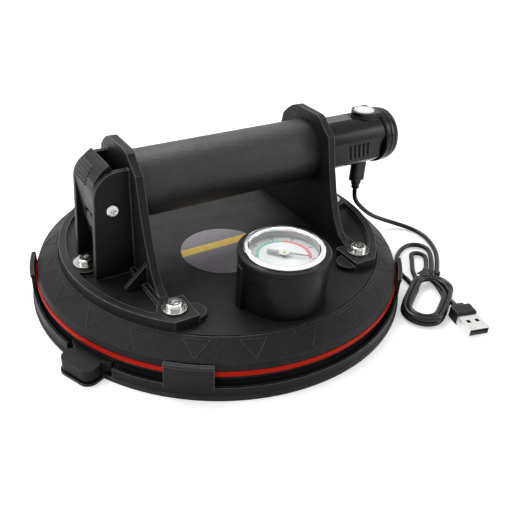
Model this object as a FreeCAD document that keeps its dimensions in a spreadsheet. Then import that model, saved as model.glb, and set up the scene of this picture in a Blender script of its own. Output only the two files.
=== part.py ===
import FreeCAD, Part
import Sketcher
import math
import os
import re

# Battery-powered vacuum suction lifter for tiles and slabs.
# Frame: origin on the resting surface under the middle of the disc, +X along the grip
# towards the battery end, -X the release lever end, -Y the gauge side, +Z up. Millimetres.

doc = FreeCAD.newDocument("suction_lifter")
sheet = doc.addObject("Spreadsheet::Sheet", "sizes")
doc.recompute()

SIZES = [
    # pad cover: a shallow tray with upstanding clips
    ("cover_radius", 107.2), ("cover_floor", 2.0), ("cover_wall", 1.7), ("rim_height", 7.2),
    ("foot_flange", 0.7), ("foot_flange_height", 1.2), ("clip_span", 12.9), ("clip_height", 19.6),
    ("clip_bead", 0.4), ("clip_bead_height", 1.4), ("clip_gap", 0.5),
    ("clip_angle_front", -126.5), ("clip_angle_right", -41.2), ("clip_angle_rear", 53.8),
    ("clip_angle_left", 163.0), ("notch_span", 16.6), ("tongue_border", 0.9),
    ("tongue_root", 17.2),
    # rubber pad with its peel tab
    ("pad_margin", 3.8), ("pad_top", 12.4), ("pad_cover_gap", 0.4), ("pad_web", 3.6),
    ("lip_width", 5.0), ("lip_rise", 3.2), ("tab_angle", -155.7), ("tab_proud", 9.2),
    ("tab_width", 20.6), ("tab_thickness", 6.4), ("tab_corner", 4.5), ("neck_width", 17.0),
    ("neck_length", 3.4),
    # clamping stack: ring, backing plate, clamp plate, screws, filter
    ("ring_proud", 1.2), ("ring_width", 8.6), ("ring_thickness", 2.6),
    ("plate_gap", 0.3), ("clamp_radius", 42.0), ("clamp_thickness", 1.5), ("clamp_circle", 33.0),
    ("clamp_screws", 6), ("screw_radius", 2.0), ("screw_clear", 0.1), ("screw_head_radius", 3.6),
    ("screw_head_height", 1.8), ("screw_bite", 6.0), ("port_radius", 3.0),
    ("filter_radius", 8.0), ("filter_thickness", 1.2),
    # moulded disc
    ("ring_show", 0.5), ("edge_slope", 1.0), ("edge_rise", 3.8), ("side_band", 1.0),
    ("deck_height", 25.8), ("rim_width", 12.2), ("groove_width", 1.0), ("groove_depth", 0.8),
    ("disc_wall", 3.0), ("disc_rim", 7.5), ("hub_radius", 40.0), ("boss_radius", 7.0),
    # brackets
    ("plate_thickness", 4.2), ("plate_top", 95.2),
    ("foot_height", 5.2), ("foot_cut", 67.3), ("foot_rim", 4.0), ("recess_depth", 2.2),
    ("recess_margin", 2.6), ("bolt_margin", 10.3), ("tip_angle", 45.4), ("pad_inner", 48.0),
    ("pad_back", 49.0), ("lobe_height", 2.8), ("lobe_reach", 41.4), ("lobe_radius", 6.3),
    ("lobe_side", 60.2), ("bolt_boss", 8.6), ("crown_radius", 6.0), ("crown_front", 11.0),
    ("crown_rear", 14.0), ("gusset_side", 30.4), ("gusset_thickness", 2.2),
    ("gusset_rise", 11.0), ("gusset_run", 11.6),
    # lever ears
    ("ear_outer", 15.2), ("ear_thickness", 2.8), ("ear_reach_low", 80.6), ("ear_reach_top", 76.9),
    ("ear_top", 86.7), ("ear_corner", 13.0),
    # bracket bolts
    ("flange_radius", 6.3), ("flange_height", 1.3), ("head_radius", 4.3), ("head_height", 2.6),
    ("socket_width", 3.4), ("socket_depth", 1.8), ("shank_radius", 2.9), ("shank_length", 13.0),
    ("shank_clear", 0.1),
    # grip
    ("grip_height", 71.0), ("grip_radius", 17.7), ("grip_wall", 2.4), ("spigot_length", 4.0),
    ("spigot_clear", 0.1), ("core_clear", 0.1),
    ("pump_radius", 13.2), ("pump_length", 22.0), ("motor_radius", 12.2), ("motor_length", 28.0),
    ("cell_radius", 7.0), ("cell_length", 46.0), ("core_end", 2.8), ("bay_clear", 0.1), ("bay_wall", 1.6),
    ("nozzle_radius", 2.0), ("nozzle_length", 5.0),
    # release lever, pivot and valve
    ("pivot_out", 68.9), ("pivot_height", 67.0), ("pivot_radius", 1.6), ("pivot_clear", 0.08),
    ("pivot_depth", 7.0), ("pan_radius", 3.3), ("pan_height", 1.3), ("lever_side_gap", 0.3),
    ("lever_thickness", 3.0), ("lever_rise", 22.4), ("hub_boss_radius", 4.2), ("hub_boss_width", 5.0),
    ("ridge_count", 5), ("ridge_pitch", 2.2), ("ridge_height", 0.5), ("ridge_width", 0.9),
    ("ridge_length", 14.0), ("valve_height", 57.0), ("valve_radius", 4.8), ("valve_reach", 6.6),
    ("stem_radius", 1.5), ("stem_clear", 0.08), ("stem_sink", 4.5), ("stem_head_radius", 4.0),
    ("stem_head_thickness", 1.4), ("stem_head_gap", 0.6), ("window_width", 12.0),
    ("window_height", 10.4), ("window_depth", 1.6), ("slot_width", 4.4), ("slot_height", 6.4),
    # battery module
    ("module_radius", 15.6), ("button_margin", 7.3), ("module_wall", 2.0), ("top_flat", 14.6),
    ("under_flat", 13.6), ("side_flat", 13.7), ("side_tilt", 10.0), ("rib_count", 5),
    ("rib_pitch", 3.3), ("rib_width", 1.2), ("rib_height", 0.7), ("rib_length", 9.6),
    ("rib_lean", 18.0), ("rib_margin", 24.7),
    ("button_out", 98.9), ("boss_width", 15.6), ("boss_top", 88.2),
    ("button_radius", 6.3), ("button_clear", 0.1), ("button_proud", 0.5), ("button_depth", 3.2),
    ("button_travel", 1.0), ("button_stem", 1.8),
    ("board_end", 3.7), ("board_width", 18.0), ("board_thickness", 1.6), ("board_floor", 62.0),
    ("board_gap", 0.3), ("chamber_top", 80.0), ("switch_side", 6.0), ("switch_height", 2.0),
    ("cap_length", 10.6), ("cap_radius", 16.7), ("cap_groove", 0.6), ("cap_groove_width", 1.0),
    ("cap_chamfer", 1.2), ("cap_spigot", 2.0),
    ("label_margin", 2.8), ("label_gap", 4.1), ("label_width", 9.0), ("label_thickness", 0.3),
    ("flap_length", 6.5), ("flap_width", 5.6), ("flap_thickness", 0.9), ("flap_gap", 0.5),
    # charging port and plugs
    ("port_margin", 5.6), ("socket_long", 9.0), ("socket_short", 3.3), ("socket_wall", 0.25),
    ("mate_gap", 0.08), ("insert_length", 4.6), ("shell_wall", 0.3), ("grip_long", 10.8),
    ("grip_short", 6.4), ("grip_drop", 15.6), ("neck_radius", 2.6), ("neck_drop", 6.0),
    ("cord_radius", 1.5),
    # gauge
    ("cup_margin", 2.7), ("cup_radius", 23.2), ("cup_rim", 0.5), ("cup_rim_height", 2.6),
    ("cup_top", 53.0), ("cup_floor", 11.0), ("case_radius", 20.7), ("case_clear", 0.1),
    ("case_wall", 2.2), ("case_floor", 2.0), ("bezel_rise", 1.8), ("bezel_lip", 3.4),
    ("bezel_edge", 0.9), ("glass_thickness", 1.6), ("glass_sink", 1.2), ("dial_drop", 6.1),
    ("dial_thickness", 0.5), ("dial_clear", 0.2), ("needle_gap", 1.5), ("needle_thickness", 0.4),
    ("pin_proud", 0.3), ("needle_length", 13.0),
    ("needle_tail", 8.6), ("needle_hub", 2.6), ("pin_radius", 0.8), ("pin_clear", 0.05),
    ("needle_rest", -41.0), ("movement_side", 15.0), ("lug_width", 4.4), ("lug_reach", 2.6),
    ("lug_drop", 3.0),
    # round sticker on the disc
    ("sticker_radius", 23.6), ("sticker_thickness", 0.2), ("sticker_out", 6.0),
    ("sticker_gap", 4.0),
    # cord, hank, tie and the second plug
    ("hank_x", 91.4), ("hank_y", -84.6), ("hank_long", 24.4), ("hank_short", 12.8),
    ("hank_band", 6.4), ("hank_height", 6.2), ("hank_turn", 33.0),
    ("tie_x", 113.6), ("tie_y", -64.9), ("tie_turn", 41.0), ("tie_width", 3.0),
    ("tie_thickness", 0.5), ("tie_strands", 3), ("strand_gap", 0.35),
    ("plug_x", 97.4), ("plug_y", -108.8), ("plug_turn", -105.0), ("plug_width", 12.8),
    ("plug_height", 7.6), ("plug_length", 8.5), ("boot_length", 2.2), ("boot_width", 7.0),
    ("tip_width", 12.2), ("tip_height", 4.5), ("tip_length", 12.4), ("tip_wall", 0.35),
    ("tongue_height", 1.8), ("floor_gap", 0.2),
]
for row, (alias, value) in enumerate(SIZES, 1):
    sheet.set("A%d" % row, alias)
    sheet.set("B%d" % row, str(value))
    sheet.setAlias("B%d" % row, alias)
doc.recompute()
ALIASES = {alias for alias, value in SIZES}

# Sizes that follow from the ones above.
FOLLOWS = {
    "pad_radius": "(cover_radius - pad_margin)",
    "tab_reach": "(cover_radius + tab_proud)",
    "tongue_start": "(cover_radius - tongue_root)",
    "ring_radius": "(pad_radius + ring_proud)",
    "ring_inner": "(ring_radius - ring_width)",
    "disc_radius": "(ring_radius - ring_show)",
    "edge_radius": "(disc_radius - edge_slope)",
    "groove_radius": "(disc_radius - rim_width)",
    "foot_radius": "(groove_radius - groove_width)",
    "bolt_circle": "(foot_radius - bolt_margin)",
    "tip_out": "(bolt_circle * cos(tip_angle * 1deg))",
    "tip_side": "(bolt_circle * sin(tip_angle * 1deg))",
    "gauge_side": "(foot_radius - cup_margin - cup_radius)",
    "bezel_top": "(cup_top + bezel_rise)",
    "sticker_front": "(gauge_side - cup_radius - sticker_radius - sticker_gap)",
    "core_length": "(pump_length + motor_length + cell_length + 2 * bay_wall + core_end)",
    "plate_inner": "(core_length / 2 + spigot_length)",
    "module_start": "(plate_inner + plate_thickness)",
    "module_end": "(button_out + button_margin)",
    "port_out": "(module_end - port_margin)",
    "rib_first": "(module_end - rib_margin)",
    "board_start": "(module_start + module_wall + board_gap)",
    "board_length": "(module_end - board_end - board_start)",
    "label_start": "(module_start + label_margin)",
    "label_length": "(button_out - boss_width / 2 - label_gap - label_start)",
}


def qualified(formula):
    """The formula with every size name pointed at the sheet."""
    def point(match):
        word = match.group(0)
        if word in FOLLOWS:
            return qualified(FOLLOWS[word])
        return "sizes." + word if word in ALIASES else word
    return re.sub(r"[a-z_][a-z_0-9]*", point, str(formula))


def number(formula):
    """The value of a formula of sizes."""
    result = sheet.evalExpression(qualified(formula))
    return float(getattr(result, "Value", result))


def bind(thing, prop, formula):
    """Ties a property to a formula of sizes."""
    thing.setExpression(prop, qualified(formula))


def place(thing, x=0, y=0, z=0, turn=None, axis=(0, 0, 1)):
    """Sets a placement from formulas, with an optional turn about an axis."""
    if turn is not None:
        thing.Placement = FreeCAD.Placement(
            FreeCAD.Vector(0, 0, 0), FreeCAD.Rotation(FreeCAD.Vector(*axis), number(turn)))
    for letter, formula in (("x", x), ("y", y), ("z", z)):
        bind(thing, "Placement.Base." + letter, formula)
    return thing


def cylinder(name, radius, height, x=0, y=0, z=0, along="Z", span=None, turn=None):
    thing = doc.addObject("Part::Cylinder", name)
    bind(thing, "Radius", radius)
    bind(thing, "Height", height)
    if span is not None:
        bind(thing, "Angle", span)
    if along == "X":
        return place(thing, x, y, z, 90, (0, 1, 0))
    if along == "Y":
        return place(thing, x, y, z, -90, (1, 0, 0))
    return place(thing, x, y, z, turn)


def box(name, length, width, height, x=0, y=0, z=0, turn=None, axis=(0, 0, 1)):
    thing = doc.addObject("Part::Box", name)
    bind(thing, "Length", length)
    bind(thing, "Width", width)
    bind(thing, "Height", height)
    return place(thing, x, y, z, turn, axis)


def lay(thing, shift, turn):
    """Puts a thing at a worked-out place with a worked-out turn."""
    for letter in "xyz":
        thing.setExpression("Placement.Base." + letter, None)
    thing.Placement = FreeCAD.Placement(shift, turn)
    return thing


def cut(name, base, tool):
    thing = doc.addObject("Part::Cut", name)
    thing.Base = base
    thing.Tool = tool
    return thing


def fuse(name, pieces):
    thing = doc.addObject("Part::MultiFuse", name)
    thing.Shapes = pieces
    thing.Refine = True
    return thing


def common(name, pieces):
    thing = doc.addObject("Part::MultiCommon", name)
    thing.Shapes = pieces
    return thing


def plane_of(body, role):
    for feature in body.Origin.OriginFeatures:
        if feature.Role == role:
            return feature
    raise ValueError("no origin plane " + role)


def outline(body, name, role, corners, offset=0):
    """A closed outline of straight sides whose corners are all tied to formulas of sizes."""
    sketch = body.newObject("Sketcher::SketchObject", name)
    sketch.AttachmentSupport = [(plane_of(body, role), "")]
    sketch.MapMode = "FlatFace"
    bind(sketch, "AttachmentOffset.Base.z", offset)
    points = [FreeCAD.Vector(number(u), number(v), 0) for u, v in corners]
    count = len(points)
    sides = [Part.LineSegment(points[i], points[(i + 1) % count]) for i in range(count)]
    sketch.addGeometry(sides, False)
    for i in range(count):
        sketch.addConstraint(Sketcher.Constraint("Coincident", i, 2, (i + 1) % count, 1))
    for i, (u, v) in enumerate(corners):
        for kind, formula, here in (("DistanceX", u, points[i].x), ("DistanceY", v, points[i].y)):
            if str(formula) == "0":
                sketch.addConstraint(
                    Sketcher.Constraint("PointOnObject", i, 1, -2 if kind == "DistanceX" else -1))
                continue
            index = sketch.addConstraint(Sketcher.Constraint(kind, -1, 1, i, 1, here))
            sketch.setExpression("Constraints[%d]" % index, qualified(formula))
    return sketch


def turned(name, corners):
    """A body of revolution about Z from an outline of (radius, height) corners."""
    body = doc.addObject("PartDesign::Body", name)
    body.Label = name
    sketch = outline(body, name + "_profile", "XZ_Plane", corners)
    feature = body.newObject("PartDesign::Revolution", name + "_turned")
    feature.Profile = sketch
    feature.ReferenceAxis = (sketch, ["V_Axis"])
    feature.Angle = 360
    return body


def extruded(name, role, corners, length, offset=0, midplane=False, reverse=False):
    """A body with one outline padded by a length."""
    body = doc.addObject("PartDesign::Body", name)
    body.Label = name
    sketch = outline(body, name + "_profile", role, corners, offset)
    feature = body.newObject("PartDesign::Pad", name + "_pad")
    feature.Profile = sketch
    bind(feature, "Length", length)
    feature.Midplane = midplane
    feature.Reversed = reverse
    return body


def edges_where(shape, test):
    return [i + 1 for i, edge in enumerate(shape.Edges) if test(edge)]


def rounded(name, base, radius, test):
    """Rounds the edges of the base that pass the test."""
    doc.recompute()
    thing = doc.addObject("Part::Fillet", name)
    thing.Base = base
    size = number(radius)
    chosen = edges_where(base.Shape, test)
    if not chosen:
        raise ValueError("no edges to round on " + name)
    thing.Edges = [(index, size, size) for index in chosen]
    return thing


def upright(edge):
    """A straight edge along Z."""
    if not isinstance(edge.Curve, Part.Line):
        return False
    return abs(abs(edge.Curve.Direction.z) - 1) < 1e-6


def along(edge, axis):
    """A straight edge along an axis given as 0, 1 or 2."""
    if not isinstance(edge.Curve, Part.Line):
        return False
    return abs(abs(edge.Curve.Direction[axis]) - 1) < 1e-6


NODES = []


def node(thing, name):
    thing.Label = name
    NODES.append((name, thing))
    return thing


def ring_points(radius, angle):
    """Formulas for the place on a circle about the origin, the angle in degrees."""
    return "%s * cos(%s * 1deg)" % (radius, angle), "%s * sin(%s * 1deg)" % (radius, angle)


def sector(name, reach, height, z, angle, span):
    """A wedge of a round slab centred on an angle."""
    return cylinder(name, reach, height, z=z, span=span, turn="%s - %s / 2" % (angle, span))


# ---------------------------------------------------------------- pad cover
def make_cover():
    tray = turned("tray", [
        (0, 0), ("cover_radius + foot_flange", 0),
        ("cover_radius + foot_flange", "foot_flange_height"),
        ("cover_radius", "foot_flange_height + foot_flange"),
        ("cover_radius - 0.3", "rim_height"), ("cover_radius - cover_wall", "rim_height"),
        ("cover_radius - cover_wall", "cover_floor"), (0, "cover_floor")])
    notch = sector("tray_notch", "cover_radius + 20", "rim_height", "cover_floor",
                   "tab_angle", "notch_span")
    open_tray = cut("open_tray", tray, notch)
    band = turned("clip_band", [
        ("cover_radius - cover_wall", "cover_floor"), ("cover_radius - 0.1", "cover_floor"),
        ("cover_radius - 0.1", "clip_height - clip_bead_height - clip_bead"),
        ("cover_radius - 0.1 + clip_bead", "clip_height - clip_bead_height"),
        ("cover_radius - 0.1 + clip_bead", "clip_height - clip_bead"),
        ("cover_radius - 0.1", "clip_height"), ("ring_radius + clip_gap", "clip_height"),
        ("ring_radius + clip_gap", "pad_top"), ("cover_radius - cover_wall", "pad_top - 1")])
    wedges = []
    for side in ("front", "right", "rear", "left"):
        wedges.append(sector("wedge_" + side, "cover_radius + 20", "clip_height + 2", -1,
                             "clip_angle_" + side, "clip_span"))
    clips = common("clips", [band, fuse("wedges", wedges)])
    tongue = box("tongue_block", "tab_reach + tongue_border - tongue_start",
                 "tab_width + 2 * tongue_border", "foot_flange_height")
    half = "(tab_width / 2 + tongue_border)"
    reach = "(tongue_start * cos(tab_angle * 1deg) + %s * sin(tab_angle * 1deg))" % half
    rise = "(tongue_start * sin(tab_angle * 1deg) - %s * cos(tab_angle * 1deg))" % half
    place(tongue, reach, rise, 0, "tab_angle")
    soft = rounded("tongue", tongue, "tab_corner + tongue_border",
                   lambda e: upright(e) and
                   math.hypot(*e.CenterOfMass[:2]) > number("(tab_reach + tongue_start) / 2"))
    node(fuse("cover_solid", [open_tray, clips, soft]), "pad_cover")


# ---------------------------------------------------------------- rubber pad
def make_pad():
    low = "(cover_floor + pad_cover_gap)"
    skirt = turned("pad_disc", [
        (0, "pad_top - pad_web"), ("pad_radius - lip_width - 6", "pad_top - pad_web"),
        ("pad_radius - lip_width", low), ("pad_radius + 0.6", low),
        ("pad_radius + 0.2", low + " + 1.4"), ("pad_radius - 1.2", low + " + lip_rise + 1.6"),
        ("pad_radius", "pad_top - 2.4"), ("pad_radius", "pad_top"), (0, "pad_top")])
    half = "tab_width / 2"
    neck = "neck_width / 2"
    tab = extruded("tab_blank", "XY_Plane", [
        ("pad_radius - 4", "-%s - 3" % half), ("pad_radius + 0.5", "-%s - 3" % half),
        ("pad_radius + neck_length", "-" + neck), ("pad_radius + neck_length + 2", "-" + half),
        ("tab_reach", "-" + half), ("tab_reach", half), ("pad_radius + neck_length + 2", half),
        ("pad_radius + neck_length", neck), ("pad_radius + 0.5", half + " + 3"),
        ("pad_radius - 4", half + " + 3")], "tab_thickness", low)
    place(tab, turn="tab_angle")
    soft = rounded("tab", tab, "tab_corner", lambda e: upright(e) and
                   math.hypot(*e.CenterOfMass[:2]) > number("(tab_reach + pad_radius + neck_length + 2) / 2"))
    clamp = screw_places("pad_hole", "screw_radius + screw_clear", "pad_web + 2", "pad_top - pad_web - 1")
    port = cylinder("pad_port", "port_radius", "pad_web + 2", z="pad_top - pad_web - 1")
    node(cut("pad_solid", fuse("pad_blank", [skirt, soft]), fuse("pad_holes", clamp + [port])),
         "suction_pad")


def screw_places(name, radius, height, z):
    """One upright cylinder at each clamp screw."""
    made = []
    count = int(number("clamp_screws"))
    for i in range(count):
        x, y = ring_points("clamp_circle", "%d * 360 / clamp_screws" % i)
        made.append(cylinder("%s_%d" % (name, i + 1), radius, height, x, y, z))
    return made


def make_clamp_stack():
    bottom = "pad_top - pad_web"
    ring = cut("ring_solid", cylinder("ring_outer", "ring_radius", "ring_thickness", z="pad_top"),
               cylinder("ring_bore", "ring_inner", "ring_thickness + 2", z="pad_top - 1"))
    node(ring, "seal_ring")
    backing = cylinder("backing_blank", "ring_inner - plate_gap", "ring_thickness", z="pad_top")
    holes = screw_places("backing_hole", "screw_radius + screw_clear", "ring_thickness + 2",
                         "pad_top - 1")
    holes.append(cylinder("backing_port", "port_radius", "ring_thickness + 2", z="pad_top - 1"))
    node(cut("backing_solid", backing, fuse("backing_holes", holes)), "backing_plate")
    clamp = cylinder("clamp_blank", "clamp_radius", "clamp_thickness", z=bottom + " - clamp_thickness")
    holes = screw_places("clamp_hole", "screw_radius + screw_clear", "clamp_thickness + 2",
                         bottom + " - clamp_thickness - 1")
    holes.append(cylinder("clamp_port", "port_radius", "clamp_thickness + 2",
                          z=bottom + " - clamp_thickness - 1"))
    node(cut("clamp_solid", clamp, fuse("clamp_holes", holes)), "clamp_plate")
    under = bottom + " - clamp_thickness"
    shanks = screw_places("screw_shank", "screw_radius",
                          "clamp_thickness + pad_web + ring_thickness + screw_bite", under)
    heads = screw_places("screw_head", "screw_head_radius", "screw_head_height",
                         under + " - screw_head_height")
    node(fuse("clamp_screw_set", shanks + heads), "clamp_screws")
    node(cylinder("filter_disc", "filter_radius", "filter_thickness", z=under + " - filter_thickness"),
         "inlet_filter")


# ---------------------------------------------------------------- moulded disc
def bolt_places():
    """Formulas for the places of the six bracket bolts."""
    spots = []
    for sign in ("-", ""):
        spots.append((sign + "tip_out", "-tip_side"))
        spots.append((sign + "tip_out", "tip_side"))
        spots.append((sign + "bolt_circle", "0"))
    return spots


def make_disc():
    low = "(pad_top + ring_thickness)"
    inner = "groove_radius - groove_width"
    shell = turned("disc_shell", [
        (0, low), ("hub_radius", low), ("hub_radius", "deck_height - disc_wall"),
        ("groove_radius - disc_wall", "deck_height - disc_wall"),
        ("ring_radius - disc_rim", low + " + edge_rise"), ("ring_radius - disc_rim", low),
        ("disc_radius", low), ("disc_radius", low + " + side_band"),
        ("edge_radius", low + " + edge_rise"), ("groove_radius", "deck_height"),
        ("groove_radius", "deck_height - groove_depth"), (inner, "deck_height - groove_depth"),
        (inner, "deck_height"), (0, "deck_height")])
    bosses = []
    holes = []
    for i, (x, y) in enumerate(bolt_places()):
        bosses.append(cylinder("disc_boss_%d" % i, "boss_radius",
                               "deck_height - disc_wall + 0.5 - " + low, x, y, low))
        holes.append(cylinder("disc_hole_%d" % i, "shank_radius + shank_clear",
                              "shank_length", x, y,
                              "deck_height + foot_height - shank_length - 0.5"))
    holes += screw_places("hub_hole", "screw_radius + screw_clear", "screw_bite + 1.5", low + " - 1")
    holes.append(cylinder("hub_port", "port_radius", "deck_height - 4 - " + low + " + 1", z=low + " - 1"))
    body = fuse("disc_blank", [shell] + bosses)
    node(cut("disc_solid", body, fuse("disc_holes", holes)), "body_disc")
    node(cylinder("sticker_disc", "sticker_radius", "sticker_thickness", "-sticker_out", "-sticker_front",
                  "deck_height"), "round_sticker")


# ---------------------------------------------------------------- brackets
PLATE_SIDE = [(46.0, 0.0), (41.0, 3.0), (35.5, 11.0), (30.5, 24.0), (26.6, 38.0), (22.6, 56.0)]


def plate_corners():
    """The upright plate from the side: spreading at the foot, narrowing to the crown."""
    base = "(deck_height + foot_height)"
    height = "(plate_top - deck_height - foot_height)"
    front = []
    for half, up in PLATE_SIDE:
        share = up / 64.2
        front.append(("-%s * tip_side / 57.3" % half, "%s + %s * %s" % (base, share * 0.985, height)))
    crown = [("-crown_front - 0.75 * crown_radius", "plate_top - 0.6 * crown_radius"),
             ("-crown_front - 0.4 * crown_radius", "plate_top - 0.2 * crown_radius"),
             ("-crown_front + 0.1 * crown_radius", "plate_top"),
             ("crown_rear - 0.8 * crown_radius", "plate_top"),
             ("crown_rear", "plate_top - 0.3 * crown_radius"),
             ("crown_rear + 0.75 * crown_radius", "plate_top - 0.85 * crown_radius")]
    back = [(u[1:], v) for u, v in reversed(front)]
    return [("-tip_side * 0.8", "deck_height")] + front + crown + back + [("tip_side * 0.8", "deck_height")]


def make_bracket(name, sign):
    """One bracket. The sign is -1 for the lever end and 1 for the battery end."""
    tag = "l" if sign < 0 else "r"
    outer = "(plate_inner + plate_thickness)"
    top = "(deck_height + foot_height)"

    def across(near, far):
        """Where a box starts that runs from near to far away from the middle."""
        return ("-(%s)" % far if sign < 0 else str(near)), "(%s) - (%s)" % (far, near)

    x, length = across("pad_inner", "foot_radius + 2")
    block = box("foot_block_" + tag, length, "2 * foot_cut", "foot_height", x, "-foot_cut", "deck_height")
    slab = common("foot_slab_" + tag, [
        cylinder("foot_round_" + tag, "foot_radius", "foot_height", z="deck_height"), block])
    x, length = across("pad_inner - 1", "plate_inner")
    waist = box("foot_waist_" + tag, length, "2 * pad_back", "foot_height + 2", x, "-pad_back",
                "deck_height - 1")
    foot = cut("foot_plain_" + tag, slab, waist)

    # the sunk D panel, with bosses left standing round the bolts
    x, length = across(outer + " + recess_margin", "foot_radius")
    panel = box("panel_block_" + tag, length, "2 * (foot_cut - 3 * foot_rim)", "foot_height",
                x, "-foot_cut + 3 * foot_rim", top + " - recess_depth")
    sunk = common("panel_sunk_" + tag, [panel, cylinder(
        "panel_round_" + tag, "foot_radius - foot_rim", "foot_height", z=top + " - recess_depth")])
    sx = "-" if sign < 0 else ""
    keep = [cylinder("keep_outer_" + tag, "bolt_boss", "foot_height + 2", sx + "bolt_circle", 0,
                     "deck_height")]
    for k, side in enumerate(("-", "")):
        keep.append(cylinder("keep_tip_%s%d" % (tag, k), "bolt_boss", "foot_height + 2",
                             sx + "tip_out", side + "tip_side", "deck_height"))
    sunk = cut("panel_" + tag, sunk, fuse("keep_" + tag, keep))
    foot = cut("foot_" + tag, foot, sunk)
    pieces = [foot]

    # low lobes beside the tip bolts
    for k, side in enumerate(("-", "")):
        pieces.append(cylinder("lobe_round_%s%d" % (tag, k), "lobe_radius", "lobe_height",
                               sx + "(lobe_reach + lobe_radius)", side + "lobe_side", "deck_height"))
        x, length = across("lobe_reach + lobe_radius", "tip_out")
        pieces.append(box("lobe_web_%s%d" % (tag, k), length, "2 * lobe_radius", "lobe_height", x,
                          side + "lobe_side - lobe_radius", "deck_height"))

    start = "-" + outer if sign < 0 else "plate_inner"
    pieces.append(extruded("plate_" + tag, "YZ_Plane", plate_corners(), "plate_thickness", start))

    # round spigot that carries the end of the grip tube
    x, length = across("plate_inner - spigot_length", "plate_inner")
    pieces.append(cylinder("spigot_" + tag, "grip_radius - grip_wall - spigot_clear", length, x, 0,
                           "grip_height", along="X"))
    tools = []
    for k, (bx, by) in enumerate(bolt_places()):
        if bx.startswith("-") == (sign < 0):
            tools.append(cylinder("foot_hole_%s%d" % (tag, k), "shank_radius + shank_clear",
                                  "foot_height + 20", bx, by, "deck_height - 1"))
    if sign < 0:
        pieces += make_ears(tag, outer, top)
        tools.append(cylinder("pivot_hole", "pivot_radius + pivot_clear", "4 * ear_outer",
                              "-pivot_out", "-2 * ear_outer", "pivot_height", along="Y"))
    tools.append(cylinder("spigot_bore_" + tag, "nozzle_radius + 0.6", "plate_thickness + spigot_length + 2",
                          "-%s - 1" % outer if sign < 0 else "plate_inner - spigot_length - 1", 0,
                          "grip_height", along="X"))
    tools.append(bolt_head_room(tag, sign))
    return node(cut(name + "_solid", fuse(name + "_blank", pieces), fuse(name + "_holes", tools)), name)


def bolt_head_room(tag, sign):
    """Round pockets over the bolts so that plate and ears stay clear of the heads."""
    sx = "-" if sign < 0 else ""
    made = []
    for k, (x, y) in enumerate(((sx + "tip_out", "-tip_side"), (sx + "tip_out", "tip_side"),
                                (sx + "bolt_circle", "0"))):
        made.append(cylinder("head_room_%s%d" % (tag, k), "flange_radius + 0.35", "12", x, y,
                             "deck_height + foot_height"))
    return fuse("head_rooms_" + tag, made)


def make_ears(tag, outer, top):
    """Two ears that carry the release lever, and the gussets in front of and behind them."""
    made = []
    corners = [("-" + outer, top + " - 2"), ("-ear_reach_low", top + " - 2"),
               ("-ear_reach_top", "ear_top"), ("-" + outer, "ear_top")]
    for k, side in enumerate(("front", "back")):
        offset = "ear_outer - ear_thickness" if side == "front" else "-ear_outer"
        ear = extruded("ear_" + side, "XZ_Plane", corners, "ear_thickness", offset)
        made.append(rounded("ear_soft_" + side, ear, "ear_corner", lambda e: along(e, 1)
                            and e.CenterOfMass.z > number("ear_top - 1")
                            and e.CenterOfMass.x < number("-ear_reach_top + 1")))
    for k, side in enumerate(("", "-")):
        offset = "%sgusset_side - gusset_thickness / 2" % side
        made.append(extruded("gusset_%d" % k, "XZ_Plane", [
            ("-" + outer, top + " - 0.5"), ("-(%s + gusset_run)" % outer, top + " - 0.5"),
            ("-(%s + gusset_run)" % outer, top), ("-" + outer, top + " + gusset_rise")],
            "gusset_thickness", offset))
    return made


def make_bolts():
    pieces = []
    top = "(deck_height + foot_height)"
    sockets = []
    for k, (x, y) in enumerate(bolt_places()):
        pieces.append(cylinder("bolt_flange_%d" % k, "flange_radius", "flange_height", x, y, top))
        head = cylinder("bolt_head_%d" % k, "head_radius", "head_height", x, y,
                        top + " + flange_height")
        pieces.append(rounded("bolt_crown_%d" % k, head, "head_height * 0.45", lambda e:
                              isinstance(e.Curve, Part.Circle) and e.CenterOfMass.z >
                              number(top + " + flange_height + head_height / 2")))
        pieces.append(cylinder("bolt_shank_%d" % k, "shank_radius", "shank_length", x, y,
                               top + " - shank_length"))
        hexagon = doc.addObject("Part::Prism", "bolt_socket_%d" % k)
        hexagon.Polygon = 6
        bind(hexagon, "Circumradius", "socket_width / 2 / cos(30deg)")
        bind(hexagon, "Height", "socket_depth + 1")
        sockets.append(place(hexagon, x, y, top + " + flange_height + head_height - socket_depth"))
    node(cut("bolt_set", fuse("bolt_blanks", pieces), fuse("bolt_sockets", sockets)), "bracket_bolts")


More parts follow.
